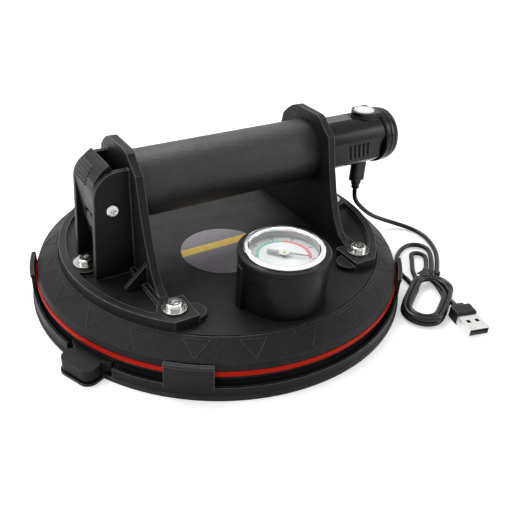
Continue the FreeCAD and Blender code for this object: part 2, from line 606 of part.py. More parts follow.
# ---------------------------------------------------------------- grip
def make_grip():
    tube = cut("grip_solid",
               cylinder("grip_outer", "grip_radius", "2 * plate_inner", "-plate_inner", 0,
                        "grip_height", along="X"),
               cylinder("grip_bore", "grip_radius - grip_wall", "2 * plate_inner + 2",
                        "-plate_inner - 1", 0, "grip_height", along="X"))
    node(tube, "grip_tube")
    start = "(-plate_inner + spigot_length)"
    pump = cylinder("pump_barrel", "pump_radius", "pump_length", start + " + bay_wall", 0,
                    "grip_height", along="X")
    nozzle = cylinder("pump_nozzle", "nozzle_radius", "nozzle_length + 1",
                      start + " + bay_wall - nozzle_length", 0, "grip_height", along="X")
    node(fuse("pump_solid", [pump, nozzle]), "vacuum_pump")
    motor_start = start + " + bay_wall + pump_length"
    motor = cylinder("motor_can", "motor_radius", "motor_length", motor_start, 0, "grip_height",
                     along="X")
    node(motor, "pump_motor")
    cell_start = motor_start + " + motor_length + bay_wall"
    node(cylinder("cell_can", "cell_radius", "cell_length", cell_start, 0, "grip_height",
                  along="X"), "battery_cell")
    carrier = cylinder("core_blank", "grip_radius - grip_wall - core_clear",
                       "2 * (plate_inner - spigot_length)", start, 0, "grip_height", along="X")
    bays = [
        cylinder("core_pump_bay", "pump_radius + bay_clear", "pump_length", start + " + bay_wall", 0,
                 "grip_height", along="X"),
        cylinder("core_motor_bay", "motor_radius + bay_clear", "motor_length", motor_start, 0,
                 "grip_height", along="X"),
        cylinder("core_cell_bay", "cell_radius + bay_clear", "cell_length", cell_start, 0,
                 "grip_height", along="X"),
        cylinder("core_wire_way", "nozzle_radius + 0.2", "2 * plate_inner", "-plate_inner", 0,
                 "grip_height", along="X")]
    node(cut("core_solid", carrier, fuse("core_bays", bays)), "grip_core")


# ---------------------------------------------------------------- release lever and valve
LEVER_SIDE = [(-1.1, 22.4), (1.7, 20.7), (4.5, 18.0), (6.9, 14.7), (8.4, 10.0), (8.4, 5.6),
              (6.5, -12.2), (4.7, -21.8), (2.7, -29.2)]


def swell(offset):
    """An offset of the lever's side line, which grows with the lever."""
    return "%.3f * lever_rise / %.1f" % (offset, LEVER_SIDE[0][1])


def lever_corners():
    """The lever from the side, as an outer line and the same line moved in by its thickness.
    Each place is (out, up) from the pivot."""
    outer = []
    inner = []
    last = len(LEVER_SIDE) - 1
    for i, (out, up) in enumerate(LEVER_SIDE):
        before = LEVER_SIDE[max(i - 1, 0)]
        after = LEVER_SIDE[min(i + 1, last)]
        run, rise = after[0] - before[0], after[1] - before[1]
        size = math.hypot(run, rise)
        outer.append(("-(pivot_out + %s)" % swell(out), "pivot_height + " + swell(up)))
        inner.append(("-(pivot_out + %s + lever_thickness * %.4f)" % (swell(out), rise / size),
                      "pivot_height + %s - lever_thickness * %.4f" % (swell(up), run / size)))
    return outer + inner[::-1]


def lever_surface(up):
    """How far out from the pivot the outer line of the lever is at a height above the pivot."""
    for (out_a, up_a), (out_b, up_b) in zip(LEVER_SIDE, LEVER_SIDE[1:]):
        if up_a >= up >= up_b:
            return out_a + (out_b - out_a) * (up_a - up) / (up_a - up_b)
    raise ValueError("height off the lever")


def make_lever():
    half = "(ear_outer - ear_thickness - lever_side_gap)"
    face = "(pivot_out + %s)" % swell(lever_surface(-10.0))
    pieces = [extruded("lever_side", "XZ_Plane", lever_corners(), "2 * " + half, midplane=True)]
    for k, side in enumerate(("front", "back")):
        y = "-" + half if side == "front" else half + " - hub_boss_width"
        pieces.append(cylinder("lever_hub_" + side, "hub_boss_radius", "hub_boss_width", "-pivot_out",
                               y, "pivot_height", along="Y"))
        pieces.append(box("lever_web_" + side, 6.4, "hub_boss_width", "1.5 * hub_boss_radius",
                          "-(pivot_out + 6.4)", y, "pivot_height - 0.75 * hub_boss_radius"))
    count = int(number("ridge_count"))
    for i in range(count):
        up = (number("lever_rise") - 4.6 - i * number("ridge_pitch") * 0.86) * LEVER_SIDE[0][1] \
            / number("lever_rise")
        pieces.append(cylinder("lever_ridge_%d" % i, "ridge_width", "ridge_length",
                               "-(pivot_out + %s - ridge_width + ridge_height)" % swell(lever_surface(up)),
                               half + " - ridge_length - 0.3", "pivot_height + " + swell(up), along="Y"))
    tools = [
        cylinder("lever_bore", "pivot_radius - 0.2", "4 * ear_outer", "-pivot_out", "-2 * ear_outer",
                 "pivot_height", along="Y"),
        box("lever_window", "window_depth + 4", "window_width", "window_height",
            "-%s - 4" % face, "-window_width / 2", "valve_height - window_height / 2"),
        box("lever_slot", "4 * lever_thickness", "slot_width", "slot_height",
            "-%s - 4" % face, "-slot_width / 2", "valve_height - slot_height / 2")]
    node(cut("lever_solid", fuse("lever_blank", pieces), fuse("lever_tools", tools)),
         "release_lever")

    # two screws on which the lever turns: threaded into the hubs, free in the ears
    screws = []
    sockets = []
    for k, sign in enumerate(("-", "")):
        y = "-ear_outer" if sign == "-" else "ear_outer - pivot_depth"
        screws.append(cylinder("pivot_shank_%d" % k, "pivot_radius - 0.2", "pivot_depth",
                               "-pivot_out", y, "pivot_height", along="Y"))
        shoulder = "-ear_outer" if sign == "-" else "ear_outer - ear_thickness"
        screws.append(cylinder("pivot_shoulder_%d" % k, "pivot_radius", "ear_thickness",
                               "-pivot_out", shoulder, "pivot_height", along="Y"))
        y = "-ear_outer - pan_height" if sign == "-" else "ear_outer"
        pan = cylinder("pivot_pan_%d" % k, "pan_radius", "pan_height", "-pivot_out", y, "pivot_height",
                       along="Y")
        reach = "ear_outer + pan_height"
        screws.append(rounded("pivot_head_%d" % k, pan, "pan_height * 0.6", lambda e:
                              isinstance(e.Curve, Part.Circle)
                              and abs(e.CenterOfMass.y) > number(reach) - 0.01))
        y = "-ear_outer - pan_height" if sign == "-" else "ear_outer + pan_height - 0.8"
        for turn in (0, 90):
            slot = box("pivot_cross_%d_%d" % (k, turn), 2.8, 0.8, 0.7)
            slot.Placement = FreeCAD.Placement(
                FreeCAD.Vector(0, 0, 0), FreeCAD.Rotation(FreeCAD.Vector(0, 1, 0), turn))
            bind(slot, "Placement.Base.x", "-pivot_out - 1.4" if turn == 0 else "-pivot_out - 0.35")
            bind(slot, "Placement.Base.y", y)
            bind(slot, "Placement.Base.z", "pivot_height - 0.35" if turn == 0 else "pivot_height + 1.4")
            sockets.append(slot)
    node(cut("lever_screw_set", fuse("lever_screw_blanks", screws),
             fuse("lever_screw_sockets", sockets)), "lever_screws")

    outer = "(plate_inner + plate_thickness)"
    seat = cylinder("valve_blank", "valve_radius", "valve_reach", "-%s - valve_reach" % outer, 0,
                    "valve_height", along="X")
    bore = cylinder("valve_bore", "stem_radius + stem_clear", "stem_sink + 1",
                    "-%s - valve_reach - 1" % outer, 0, "valve_height", along="X")
    node(cut("valve_solid", seat, bore), "valve_body")
    web = "(%s - window_depth)" % face
    head_start = "(%s + stem_head_gap)" % web
    stem = cylinder("stem_shank", "stem_radius", "%s + 0.4 - %s - valve_reach + stem_sink - 0.2"
                    % (head_start, outer), "-%s - 0.4" % head_start, 0, "valve_height", along="X")
    head = cylinder("stem_head", "stem_head_radius", "stem_head_thickness",
                    "-%s - stem_head_thickness" % head_start, 0, "valve_height", along="X")
    node(fuse("stem_solid", [stem, head]), "valve_stem")


# ---------------------------------------------------------------- battery module
def make_module():
    start = "module_start"
    axis = "grip_height"
    round_bar = cylinder("module_round", "module_radius", "module_end - %s" % start, start, 0, axis,
                         along="X")
    between = box("module_flats", "module_end - %s" % start, "2 * module_radius + 2",
                  "top_flat + under_flat", start, "-module_radius - 1", axis + " - under_flat")
    flats = []
    for sign in (-1, 1):
        thick = number("module_radius / 2")
        tall = number("3 * module_radius")
        block = box("module_side_%d" % sign, "module_end - %s + 2" % start, "module_radius / 2",
                    "3 * module_radius")
        turn = FreeCAD.Rotation(FreeCAD.Vector(1, 0, 0), -sign * number("side_tilt"))
        inward = number("side_flat") * sign - (thick if sign < 0 else 0)
        shift = turn.multVec(FreeCAD.Vector(0, inward, -tall / 2))
        flats.append(lay(block, shift + FreeCAD.Vector(number(start) - 1, 0, number(axis)), turn))
    bar = cut("module_bar", common("module_core", [round_bar, between]), fuse("module_sides", flats))
    knob = cylinder("module_boss", "boss_width / 2", "boss_top - %s" % axis, "button_out", 0, axis)
    ledge = box("module_ledge", "module_end - button_out", "boss_width", "boss_top - %s" % axis,
                "button_out", "-boss_width / 2", axis)
    ribs = []
    for i in range(int(number("rib_count"))):
        rib = box("module_rib_%d" % i, "rib_width", "rib_height + 1.5", "rib_length")
        lean = FreeCAD.Rotation(FreeCAD.Vector(0, 1, 0), -number("rib_lean"))
        tilt = FreeCAD.Rotation(FreeCAD.Vector(1, 0, 0), number("side_tilt"))
        shift = tilt.multVec(FreeCAD.Vector(0, -number("side_flat") - number("rib_height"), 0)
                             + lean.multVec(FreeCAD.Vector(-number("rib_width") / 2, 0,
                                                           -number("rib_length") / 2)))
        shift.x += number("rib_first") + i * number("rib_pitch")
        shift.z += number(axis)
        ribs.append(lay(rib, shift, tilt.multiply(lean)))
    solid = fuse("module_blank", [bar, knob, ledge] + ribs)
    hollow = common("module_chamber", [
        cylinder("chamber_round", "module_radius - module_wall - 0.6", "module_end - %s" % start,
                 start + " + module_wall", 0, axis, along="X"),
        box("chamber_flats", "module_end - %s" % start, "2 * (side_flat - module_wall - 0.9)",
            "chamber_top - (%s - under_flat + module_wall)" % axis, start + " + module_wall",
            "-(side_flat - module_wall - 0.9)", axis + " - under_flat + module_wall")])
    tools = [
        hollow,
        box("module_front", "boss_width", "3 * module_radius", "3 * module_radius", "module_end",
            "-1.5 * module_radius", axis + " - 1.5 * module_radius"),
        cylinder("button_pocket", "button_radius + button_clear", "button_depth + 1", "button_out", 0,
                 "boss_top - button_depth"),
        cylinder("button_way", "button_stem + 0.15", "button_depth + 20", "button_out", 0,
                 "chamber_top - 1"),
        cylinder("wire_way", "nozzle_radius + 0.6", "module_wall + 2", start + " - 1", 0, axis,
                 along="X"),
        box("port_window", "socket_long + 2 * mate_gap", "socket_short + 2 * mate_gap",
            "module_wall + 2", "port_out - socket_long / 2 - mate_gap",
            "-socket_short / 2 - mate_gap", axis + " - under_flat - 1")]
    node(cut("module_solid", solid, fuse("module_tools", tools)), "module_housing")

    cap = turned("cap_turned", [
        (0, 0), ("cap_radius - 0.5", 0), ("cap_radius", 0.5), ("cap_radius", "cap_length * 0.3"),
        ("cap_radius - cap_groove", "cap_length * 0.3"),
        ("cap_radius - cap_groove", "cap_length * 0.3 + cap_groove_width"),
        ("cap_radius", "cap_length * 0.3 + cap_groove_width"), ("cap_radius - 0.2", "cap_length * 0.58"),
        ("cap_radius - 0.2 - cap_groove", "cap_length * 0.58"),
        ("cap_radius - 0.2 - cap_groove", "cap_length * 0.58 + cap_groove_width"),
        ("cap_radius - 0.3", "cap_length * 0.58 + cap_groove_width"),
        ("cap_radius - 0.9", "cap_length - cap_chamfer"),
        ("cap_radius - 0.9 - cap_chamfer", "cap_length"), (0, "cap_length")])
    place(cap, "module_end", 0, axis, 90, (0, 1, 0))
    plug = cylinder("cap_plug", "chamber_top - %s - 0.5" % axis, "cap_spigot + 1",
                    "module_end - cap_spigot", 0, axis, along="X")
    node(fuse("cap_solid", [cap, plug]), "module_cap")

    top = "boss_top - button_depth + button_travel + 0.1"
    pad = cylinder("button_pad", "button_radius", "boss_top + button_proud - (%s)" % top, "button_out", 0,
                   top)
    face = rounded("button_face", pad, "button_proud", lambda e: isinstance(e.Curve, Part.Circle)
                   and e.CenterOfMass.z > number("boss_top + button_proud") - 0.01)
    switch = "(board_floor + board_thickness + switch_height)"
    pin = cylinder("button_pin", "button_stem", "%s + 1 - (%s + button_travel + 0.1)" % (top, switch),
                   "button_out", 0, "%s + button_travel + 0.1" % switch)
    node(fuse("button_solid", [face, pin]), "power_button")
    node(box("label_plate", "label_length", "label_width", "label_thickness",
             "label_start", "-label_width / 2", axis + " + top_flat"), "rating_plate")
    board = box("board_sheet", "board_length", "board_width", "board_thickness",
                "board_start", "-board_width / 2", "board_floor")
    switch_block = box("board_switch", "switch_side", "switch_side", "switch_height",
                       "button_out - switch_side / 2", "-switch_side / 2",
                       "board_floor + board_thickness")
    node(fuse("board_solid", [board, switch_block]), "control_board")


def slot_bar(name, long, short, height, x, y, z):
    """An upright bar with round ends, its long side along X."""
    span = "(%s) - (%s)" % (long, short)
    return fuse(name, [
        box(name + "_mid", span, short, height, "%s - (%s) / 2" % (x, span),
            "%s - (%s) / 2" % (y, short), z),
        cylinder(name + "_low", "(%s) / 2" % short, height, "%s - (%s) / 2" % (x, span), y, z),
        cylinder(name + "_high", "(%s) / 2" % short, height, "%s + (%s) / 2" % (x, span), y, z)])


def make_port():
    under = "(grip_height - under_flat)"
    drop = "board_floor - " + under
    shell = box("socket_block", "socket_long", "socket_short", drop, "port_out - socket_long / 2",
                "-socket_short / 2", under)
    mouth = box("socket_mouth", "socket_long - 2 * socket_wall", "socket_short - 2 * socket_wall",
                "insert_length + 1 - 0.4", "port_out - socket_long / 2 + socket_wall",
                "-socket_short / 2 + socket_wall", under + " - 1")
    node(cut("socket_solid", shell, mouth), "port_socket")
    flap = box("flap_leaf", "flap_length", "flap_width", "flap_thickness", "port_out - grip_long / 2 "
               "- flap_gap - flap_length", "-flap_width / 2", under + " - flap_thickness")
    lip = box("flap_lip", 1.4, "flap_width", 0.7, "port_out - grip_long / 2 - flap_gap - flap_length",
              "-flap_width / 2", under + " - flap_thickness - 0.7")
    node(fuse("flap_solid", [flap, lip]), "port_flap")
    wide = "socket_long - 2 * socket_wall - 2 * mate_gap"
    narrow = "socket_short - 2 * socket_wall - 2 * mate_gap"
    outer = box("c_shell_block", wide, narrow, "insert_length - 0.6", "port_out - (%s) / 2" % wide,
                "-(%s) / 2" % narrow, under)
    inner = box("c_shell_mouth", wide + " - 2 * shell_wall", narrow + " - 2 * shell_wall",
                "insert_length", "port_out - (%s) / 2 + shell_wall" % wide,
                "-(%s) / 2 + shell_wall" % narrow, under + " + 0.4")
    node(cut("c_shell_solid", outer, inner), "plug_c_shell")
    block = slot_bar("c_grip_block", "grip_long", "grip_short", "grip_drop", "port_out", "0",
                     under + " - grip_drop")
    step = slot_bar("c_grip_step", "grip_long * 0.62", "grip_short * 0.8", "neck_drop * 0.55",
                    "port_out", "0", under + " - grip_drop - neck_drop * 0.5")
    neck = cylinder("c_grip_neck", "neck_radius", "neck_drop", "port_out", 0,
                    under + " - grip_drop - neck_drop")
    node(fuse("c_grip_solid", [block, step, neck]), "plug_c_grip")


# ---------------------------------------------------------------- gauge
def make_gauge():
    def at_gauge(thing):
        return place(thing, 0, "-gauge_side", 0)

    floor = "(deck_height + cup_floor)"
    bore = "(case_radius + case_clear)"
    cup = at_gauge(turned("cup_turned", [
        ("case_radius - case_wall", "deck_height"), ("cup_radius", "deck_height"),
        ("cup_radius", "cup_top - cup_rim_height"),
        ("cup_radius + cup_rim", "cup_top - cup_rim_height + cup_rim"),
        ("cup_radius + cup_rim", "cup_top - 0.5"), ("cup_radius + cup_rim - 0.5", "cup_top"),
        (bore, "cup_top"), (bore, floor), (0, floor), (0, floor + " - case_wall"),
        ("case_radius - case_wall", floor + " - case_wall")]))
    lug = box("cup_lug", "lug_reach + 2", "lug_width", "cup_top - lug_drop - deck_height",
              "-cup_radius - lug_reach", "-gauge_side - lug_width / 2", "deck_height")
    node(fuse("cup_solid", [cup, lug]), "gauge_cup")

    seat = "(bezel_top - glass_sink - glass_thickness)"
    case = at_gauge(turned("case_turned", [
        (0, floor), ("case_radius", floor), ("case_radius", seat), ("case_radius - case_wall", seat),
        ("case_radius - case_wall", floor + " + case_floor"), (0, floor + " + case_floor")]))
    node(case, "gauge_case")
    ridge = "case_radius - bezel_lip"
    bezel = at_gauge(turned("bezel_turned", [
        (ridge + " + 1", seat), ("case_radius", seat), ("case_radius", "bezel_top - bezel_edge"),
        ("case_radius - 0.3 * bezel_edge", "bezel_top - 0.35 * bezel_edge"),
        ("case_radius - bezel_edge", "bezel_top"), (ridge + " + bezel_edge", "bezel_top"),
        (ridge + " + 0.2", "bezel_top - 0.5 * bezel_edge"), (ridge, "bezel_top - glass_sink"),
        (ridge + " + 1", "bezel_top - glass_sink")]))
    node(bezel, "gauge_bezel")
    node(cylinder("glass_disc", ridge + " + 0.9", "glass_thickness", 0, "-gauge_side", seat),
         "gauge_glass")
    face = "(bezel_top - dial_drop)"
    dial = cut("dial_solid", cylinder("dial_disc", "case_radius - case_wall - dial_clear",
                                      "dial_thickness", 0, "-gauge_side", face + " - dial_thickness"),
               cylinder("dial_hole", "pin_radius + 0.4", "dial_thickness + 2", 0, "-gauge_side",
                        face + " - dial_thickness - 1"))
    node(dial, "gauge_dial")
    block = box("movement_block", "movement_side", "movement_side",
                face + " - dial_thickness - (%s + case_floor)" % floor, "-movement_side / 2",
                "-gauge_side - movement_side / 2", floor + " + case_floor")
    pin = cylinder("movement_pin", "pin_radius",
                   "needle_gap + needle_thickness + pin_proud + dial_thickness + 0.5",
                   0, "-gauge_side", face + " - dial_thickness - 0.5")
    node(fuse("movement_solid", [block, pin]), "gauge_movement")
    blade = extruded("needle_blade", "XY_Plane", [
        ("-needle_tail", "-needle_hub * 0.55"), (0, "-needle_hub * 0.32"), ("needle_length", "-0.18"),
        ("needle_length", "0.18"), (0, "needle_hub * 0.32"), ("-needle_tail", "needle_hub * 0.55")],
        "needle_thickness", face + " + needle_gap")
    place(blade, 0, "-gauge_side", 0, "needle_rest")
    boss = cylinder("needle_boss", "needle_hub", "needle_thickness", 0, "-gauge_side",
                    face + " + needle_gap")
    bore = cylinder("needle_bore", "pin_radius + pin_clear", "needle_thickness + 2", 0, "-gauge_side",
                    face + " + needle_gap - 1")
    node(cut("needle_solid", fuse("needle_blank", [blade, boss]), bore), "gauge_needle")


# ---------------------------------------------------------------- cord, hank, tie and plug
LEAD_ROUTE = [
    (5.2, 0.0, 0.0), (11.4, 3.0, 0.4), (17.6, 9.0, 0.2), (24.2, 16.6, -1.4), (28.8, 26.0, -3.4),
    (32.4, 35.4, -7.4), (34.0, 42.0, -14.4), (34.2, 44.4, -25.0), (34.2, 41.4, -36.0),
    (34.0, 35.6, -47.2), (33.8, 28.2, -55.4), (33.5, 20.1, -63.2), (33.5, 12.2, -70.05),
    (33.0, 6.6, -73.6)]
BACK_ROUTE = [
    (4.8, 14.0, 2.8), (4.6, 20.8, 2.2), (5.6, 28.2, 1.8), (8.8, 35.6, 1.7), (13.8, 42.0, 1.7),
    (19.8, 47.0, 1.7), (26.2, 50.6, 1.7), (31.8, 52.4, 1.7), (36.6, 52.2, 1.7), (40.6, 49.8, 1.7),
    (42.6, 45.8, 1.7), (41.8, 41.2, 1.8), (38.0, 35.8, 2.0), (32.8, 29.7, 2.2), (27.1, 24.0, 2.3),
    (19.2, 17.1, 2.3), (14.4, 13.8, 2.9)]
SMALL_ROUTE = [(9.2, 16.0, 2.8), (11.2, 21.8, 2.3), (14.4, 27.4, 2.0), (19.0, 32.8, 1.9),
               (23.8, 38.0, 1.9)]
SMALL_FOLD = (29.4, 38.2, 4.6, 138, -42, 6, 2.0)
SMALL_RETURN = [(30.0, 31.6, 2.2), (24.9, 26.5, 2.3), (17.0, 19.6, 2.3), (12.5, 16.3, 2.9)]
TAIL_ROUTE = [(9.8, -8.8, 3.7), (9.6, -6.2, 3.4)]
TIE_LEAF = [(1.6, -1.8), (0.4, 2.0), (-4.4, 3.6), (-9.6, 2.6), (-8.4, 0.4), (-4.0, -1.4)]


def fold(x, y, radius, start, end, turns, z):
    """Route points just outside a round fold, evenly spaced from one heading to another."""
    turns = round(turns)
    step = (end - start) / turns
    out = radius / math.cos(math.radians(step / 2))
    places = []
    for i in range(turns):
        angle = math.radians(start + step * (i + 0.5))
        places.append((x + out * math.cos(angle), y + out * math.sin(angle), z))
    return places


def from_hank(places):
    """Places given from the middle of the hank, on the floor, moved into the part's frame."""
    x, y = number("hank_x"), number("hank_y")
    return [FreeCAD.Vector(x + u, y + v, w) for u, v, w in places]


def tube(name, points):
    """A round cord along straight runs joined by tangent arcs."""
    radius = number("cord_radius")
    edges = []
    here = points[0]
    tightest = None
    for before, point, after in zip(points, points[1:], points[2:]):
        run_in = point - before
        run_out = after - point
        turn = run_in.getAngle(run_out)
        reach = 0.45 * min(run_in.Length, run_out.Length)
        bend = reach / math.tan(turn / 2)
        tightest = bend if tightest is None else min(tightest, bend)
        way_in = FreeCAD.Vector(run_in).normalize()
        way_out = FreeCAD.Vector(run_out).normalize()
        start = point - way_in * reach
        end = point + way_out * reach
        toward = (way_out - way_in).normalize()
        middle = point + toward * (math.hypot(bend, reach) - bend)
        edges.append(Part.LineSegment(here, start).toShape())
        edges.append(Part.Arc(start, middle, end).toShape())
        here = end
    edges.append(Part.LineSegment(here, points[-1]).toShape())
    path = Part.Wire(edges)
    ring = Part.Wire([Part.Circle(points[0], points[1] - points[0], radius).toShape()])
    thing = doc.addObject("Part::Feature", name)
    thing.Shape = path.makePipeShell([ring], True, False, 1)
    expected = math.pi * radius ** 2 * path.Length
    print("%s: length %.1f, least bend radius %.1f, volume %.3f of section times length"
          % (name, path.Length, tightest, thing.Shape.Volume / expected))
    return node(thing, name)


def turned_box(name, start, length, width, height, z, x, y, turn):
    """A box laid along a heading, its middle line starting a distance past a place."""
    c, s = "cos((%s) * 1deg)" % turn, "sin((%s) * 1deg)" % turn
    return box(name, length, width, height, "%s + %s * (%s) + %s * (%s) / 2" % (x, c, start, s, width),
               "%s + %s * (%s) - %s * (%s) / 2" % (y, s, start, c, width), z, turn)


def racetrack(name, span, radius, height, z):
    """An upright bar with round ends, laid along the hank."""
    c, s = "cos(hank_turn * 1deg)", "sin(hank_turn * 1deg)"
    pieces = [turned_box(name + "_mid", "-(%s)" % span, "2 * (%s)" % span, "2 * (%s)" % radius, height,
                         z, "hank_x", "hank_y", "hank_turn")]
    for k, way in enumerate(("-", "+")):
        pieces.append(cylinder("%s_end_%d" % (name, k), radius, height,
                               "hank_x %s %s * (%s)" % (way, c, span),
                               "hank_y %s %s * (%s)" % (way, s, span), z))
    return fuse(name, pieces)


def make_cord():
    under = number("grip_height - under_flat - grip_drop - neck_drop")
    x, y = number("port_out"), 0.0
    bottom = number("floor_gap") + number("cord_radius")
    route = [FreeCAD.Vector(x, y, under)]
    for drop, out, side in LEAD_ROUTE:
        height = max(under - drop, bottom)
        route.append(FreeCAD.Vector(x + out, y + side, height))
    tube("cord_lead", route)
    tube("cord_loop_back", from_hank(BACK_ROUTE))
    tube("cord_loop_small", from_hank(
        SMALL_ROUTE + fold(*SMALL_FOLD) + SMALL_RETURN))

    straight = "hank_long - hank_short"
    hank = cut("hank_solid", racetrack("hank_outer", straight, "hank_short", "hank_height", "floor_gap"),
               racetrack("hank_inner", straight, "hank_short - hank_band", "hank_height + 2",
                         "floor_gap - 1"))
    node(hank, "cord_hank")

    pitch = "(2 * cord_radius + strand_gap)"
    inside = "(tie_strands - 1) * %s + 2 * cord_radius + 0.1" % pitch
    middle = "(floor_gap + 0.1 + tie_thickness + cord_radius)"
    across = "tie_turn + 90"
    sleeve = turned_box("tie_outer", "-(%s) / 2 - tie_thickness" % inside,
                        "%s + 2 * tie_thickness" % inside, "tie_width",
                        "2 * (cord_radius + 0.05 + tie_thickness)",
                        "%s - cord_radius - 0.05 - tie_thickness" % middle, "tie_x", "tie_y", across)
    strap = extruded("tie_strap", "XY_Plane", [("tie_x + (%s)" % u, "tie_y + (%s)" % v)
                                               for u, v in TIE_LEAF],
                     "tie_thickness", middle + " + cord_radius + 0.05")
    opening = turned_box("tie_inner", "-(%s) / 2" % inside, inside, "tie_width + 4",
                         "2 * (cord_radius + 0.05)", "%s - cord_radius - 0.05" % middle, "tie_x",
                         "tie_y", across)
    node(cut("tie_solid", fuse("tie_blank", [sleeve, strap]), opening), "cord_tie")

    level = "(floor_gap + plug_height / 2)"
    block = turned_box("a_grip_block", "-plug_length", "plug_length", "plug_width", "plug_height",
                       "floor_gap", "plug_x", "plug_y", "plug_turn")
    doc.recompute()
    soft = rounded("a_grip_soft", block, "1.2", lambda e: isinstance(e.Curve, Part.Line))
    boot = turned_box("a_grip_boot", "-plug_length - boot_length", "boot_length + 2", "boot_width",
                      "plug_height * 0.66", "%s - plug_height * 0.33" % level, "plug_x", "plug_y",
                      "plug_turn")
    node(fuse("a_grip_solid", [soft, boot]), "plug_a_grip")
    shell = turned_box("a_shell_block", "0", "tip_length", "tip_width", "tip_height",
                       level + " - tip_height / 2", "plug_x", "plug_y", "plug_turn")
    mouth = turned_box("a_shell_mouth", "1", "tip_length", "tip_width - 2 * tip_wall",
                       "tip_height - 2 * tip_wall", level + " - tip_height / 2 + tip_wall", "plug_x",
                       "plug_y", "plug_turn")
    node(cut("a_shell_solid", shell, mouth), "plug_a_shell")
    node(turned_box("a_tongue_block", "1", "tip_length - 1.6", "tip_width - 2 * tip_wall",
                    "tongue_height", level + " - tip_height / 2 + tip_wall", "plug_x", "plug_y",
                    "plug_turn"), "plug_a_tongue")
    away = "(plug_length + boot_length)"
    tail = FreeCAD.Vector(number("plug_x - cos(plug_turn * 1deg) * " + away),
                          number("plug_y - sin(plug_turn * 1deg) * " + away), number(level))
    straight_out = FreeCAD.Vector(number("plug_x - cos(plug_turn * 1deg) * (%s + cord_radius * 1.7)" % away),
                                  number("plug_y - sin(plug_turn * 1deg) * (%s + cord_radius * 1.7)" % away),
                                  tail.z)
    tube("cord_tail", [tail, straight_out] + from_hank(TAIL_ROUTE))


make_cover()
make_pad()
make_clamp_stack()
make_disc()
make_bracket("bracket_left", -1)
make_bracket("bracket_right", 1)
make_bolts()
make_grip()
make_lever()
make_module()
make_port()
make_gauge()
make_cord()
doc.recompute()

# ---------------------------------------------------------------- checks and files
faults = []
for thing in doc.Objects:
    if "Invalid" in thing.State or "Error" in thing.State:
        faults.append("%s is in state %s" % (thing.Name, thing.State))
for name, thing in NODES:
    if thing.Shape.isNull() or not thing.Shape.isValid():
        faults.append("%s has no valid shape" % name)
if faults:
    raise RuntimeError("; ".join(faults))
os.makedirs("parts", exist_ok=True)
for name, thing in NODES:
    thing.Shape.exportStep("parts/%s.step" % name)
    bounds = thing.Shape.BoundBox
    print("%-16s %d solids %9.1f mm3  %7.1f %7.1f %7.1f  %7.1f %7.1f %7.1f" % (
        name, len(thing.Shape.Solids), thing.Shape.Volume, bounds.XMin, bounds.YMin, bounds.ZMin,
        bounds.XMax, bounds.YMax, bounds.ZMax))
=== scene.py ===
import bpy
import bmesh
import math
from mathutils import Matrix, Vector


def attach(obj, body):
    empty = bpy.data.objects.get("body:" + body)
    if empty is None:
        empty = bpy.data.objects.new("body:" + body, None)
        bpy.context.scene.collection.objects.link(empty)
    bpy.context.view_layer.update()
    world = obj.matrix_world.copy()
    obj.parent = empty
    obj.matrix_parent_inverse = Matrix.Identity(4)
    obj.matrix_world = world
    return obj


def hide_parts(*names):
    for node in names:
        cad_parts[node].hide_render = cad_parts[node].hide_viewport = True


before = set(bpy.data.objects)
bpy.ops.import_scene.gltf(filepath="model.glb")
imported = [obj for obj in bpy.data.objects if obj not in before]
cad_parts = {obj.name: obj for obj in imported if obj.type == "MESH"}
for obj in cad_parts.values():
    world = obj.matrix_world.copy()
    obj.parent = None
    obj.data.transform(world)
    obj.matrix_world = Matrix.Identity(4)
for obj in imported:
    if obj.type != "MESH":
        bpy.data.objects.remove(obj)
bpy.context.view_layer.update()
scene = bpy.context.scene
MM = 0.001


def mm(*values):
    return Vector([v * MM for v in values])


# ------------------------------------------------------------------ camera
# The camera's azimuth, elevation and roll, its lens and its place in millimetres.
CAMERA_TURN, CAMERA_TILT, CAMERA_ROLL = -33.38, 32.41, 3.24
CAMERA_PLACE = (-159.79, -282.42, 218.93)
LENS, SENSOR = 45.0, 36.0

turn, tilt, roll = (math.radians(angle) for angle in (CAMERA_TURN, CAMERA_TILT, CAMERA_ROLL))
back = Vector((math.sin(turn) * math.cos(tilt), -math.cos(turn) * math.cos(tilt), math.sin(tilt)))
right = Vector((math.cos(turn), math.sin(turn), 0.0))
over = back.cross(right)
image_x = right * math.cos(roll) + over * math.sin(roll)
image_y = over * math.cos(roll) - right * math.sin(roll)
lens = bpy.data.cameras.new("camera")
lens.lens = LENS
lens.sensor_width = SENSOR
lens.clip_start = 0.01
camera = bpy.data.objects.new("camera", lens)
scene.collection.objects.link(camera)
camera.matrix_world = Matrix.Translation(mm(*CAMERA_PLACE)) @ Matrix(
    (image_x, image_y, back)).transposed().to_4x4()
scene.camera = camera

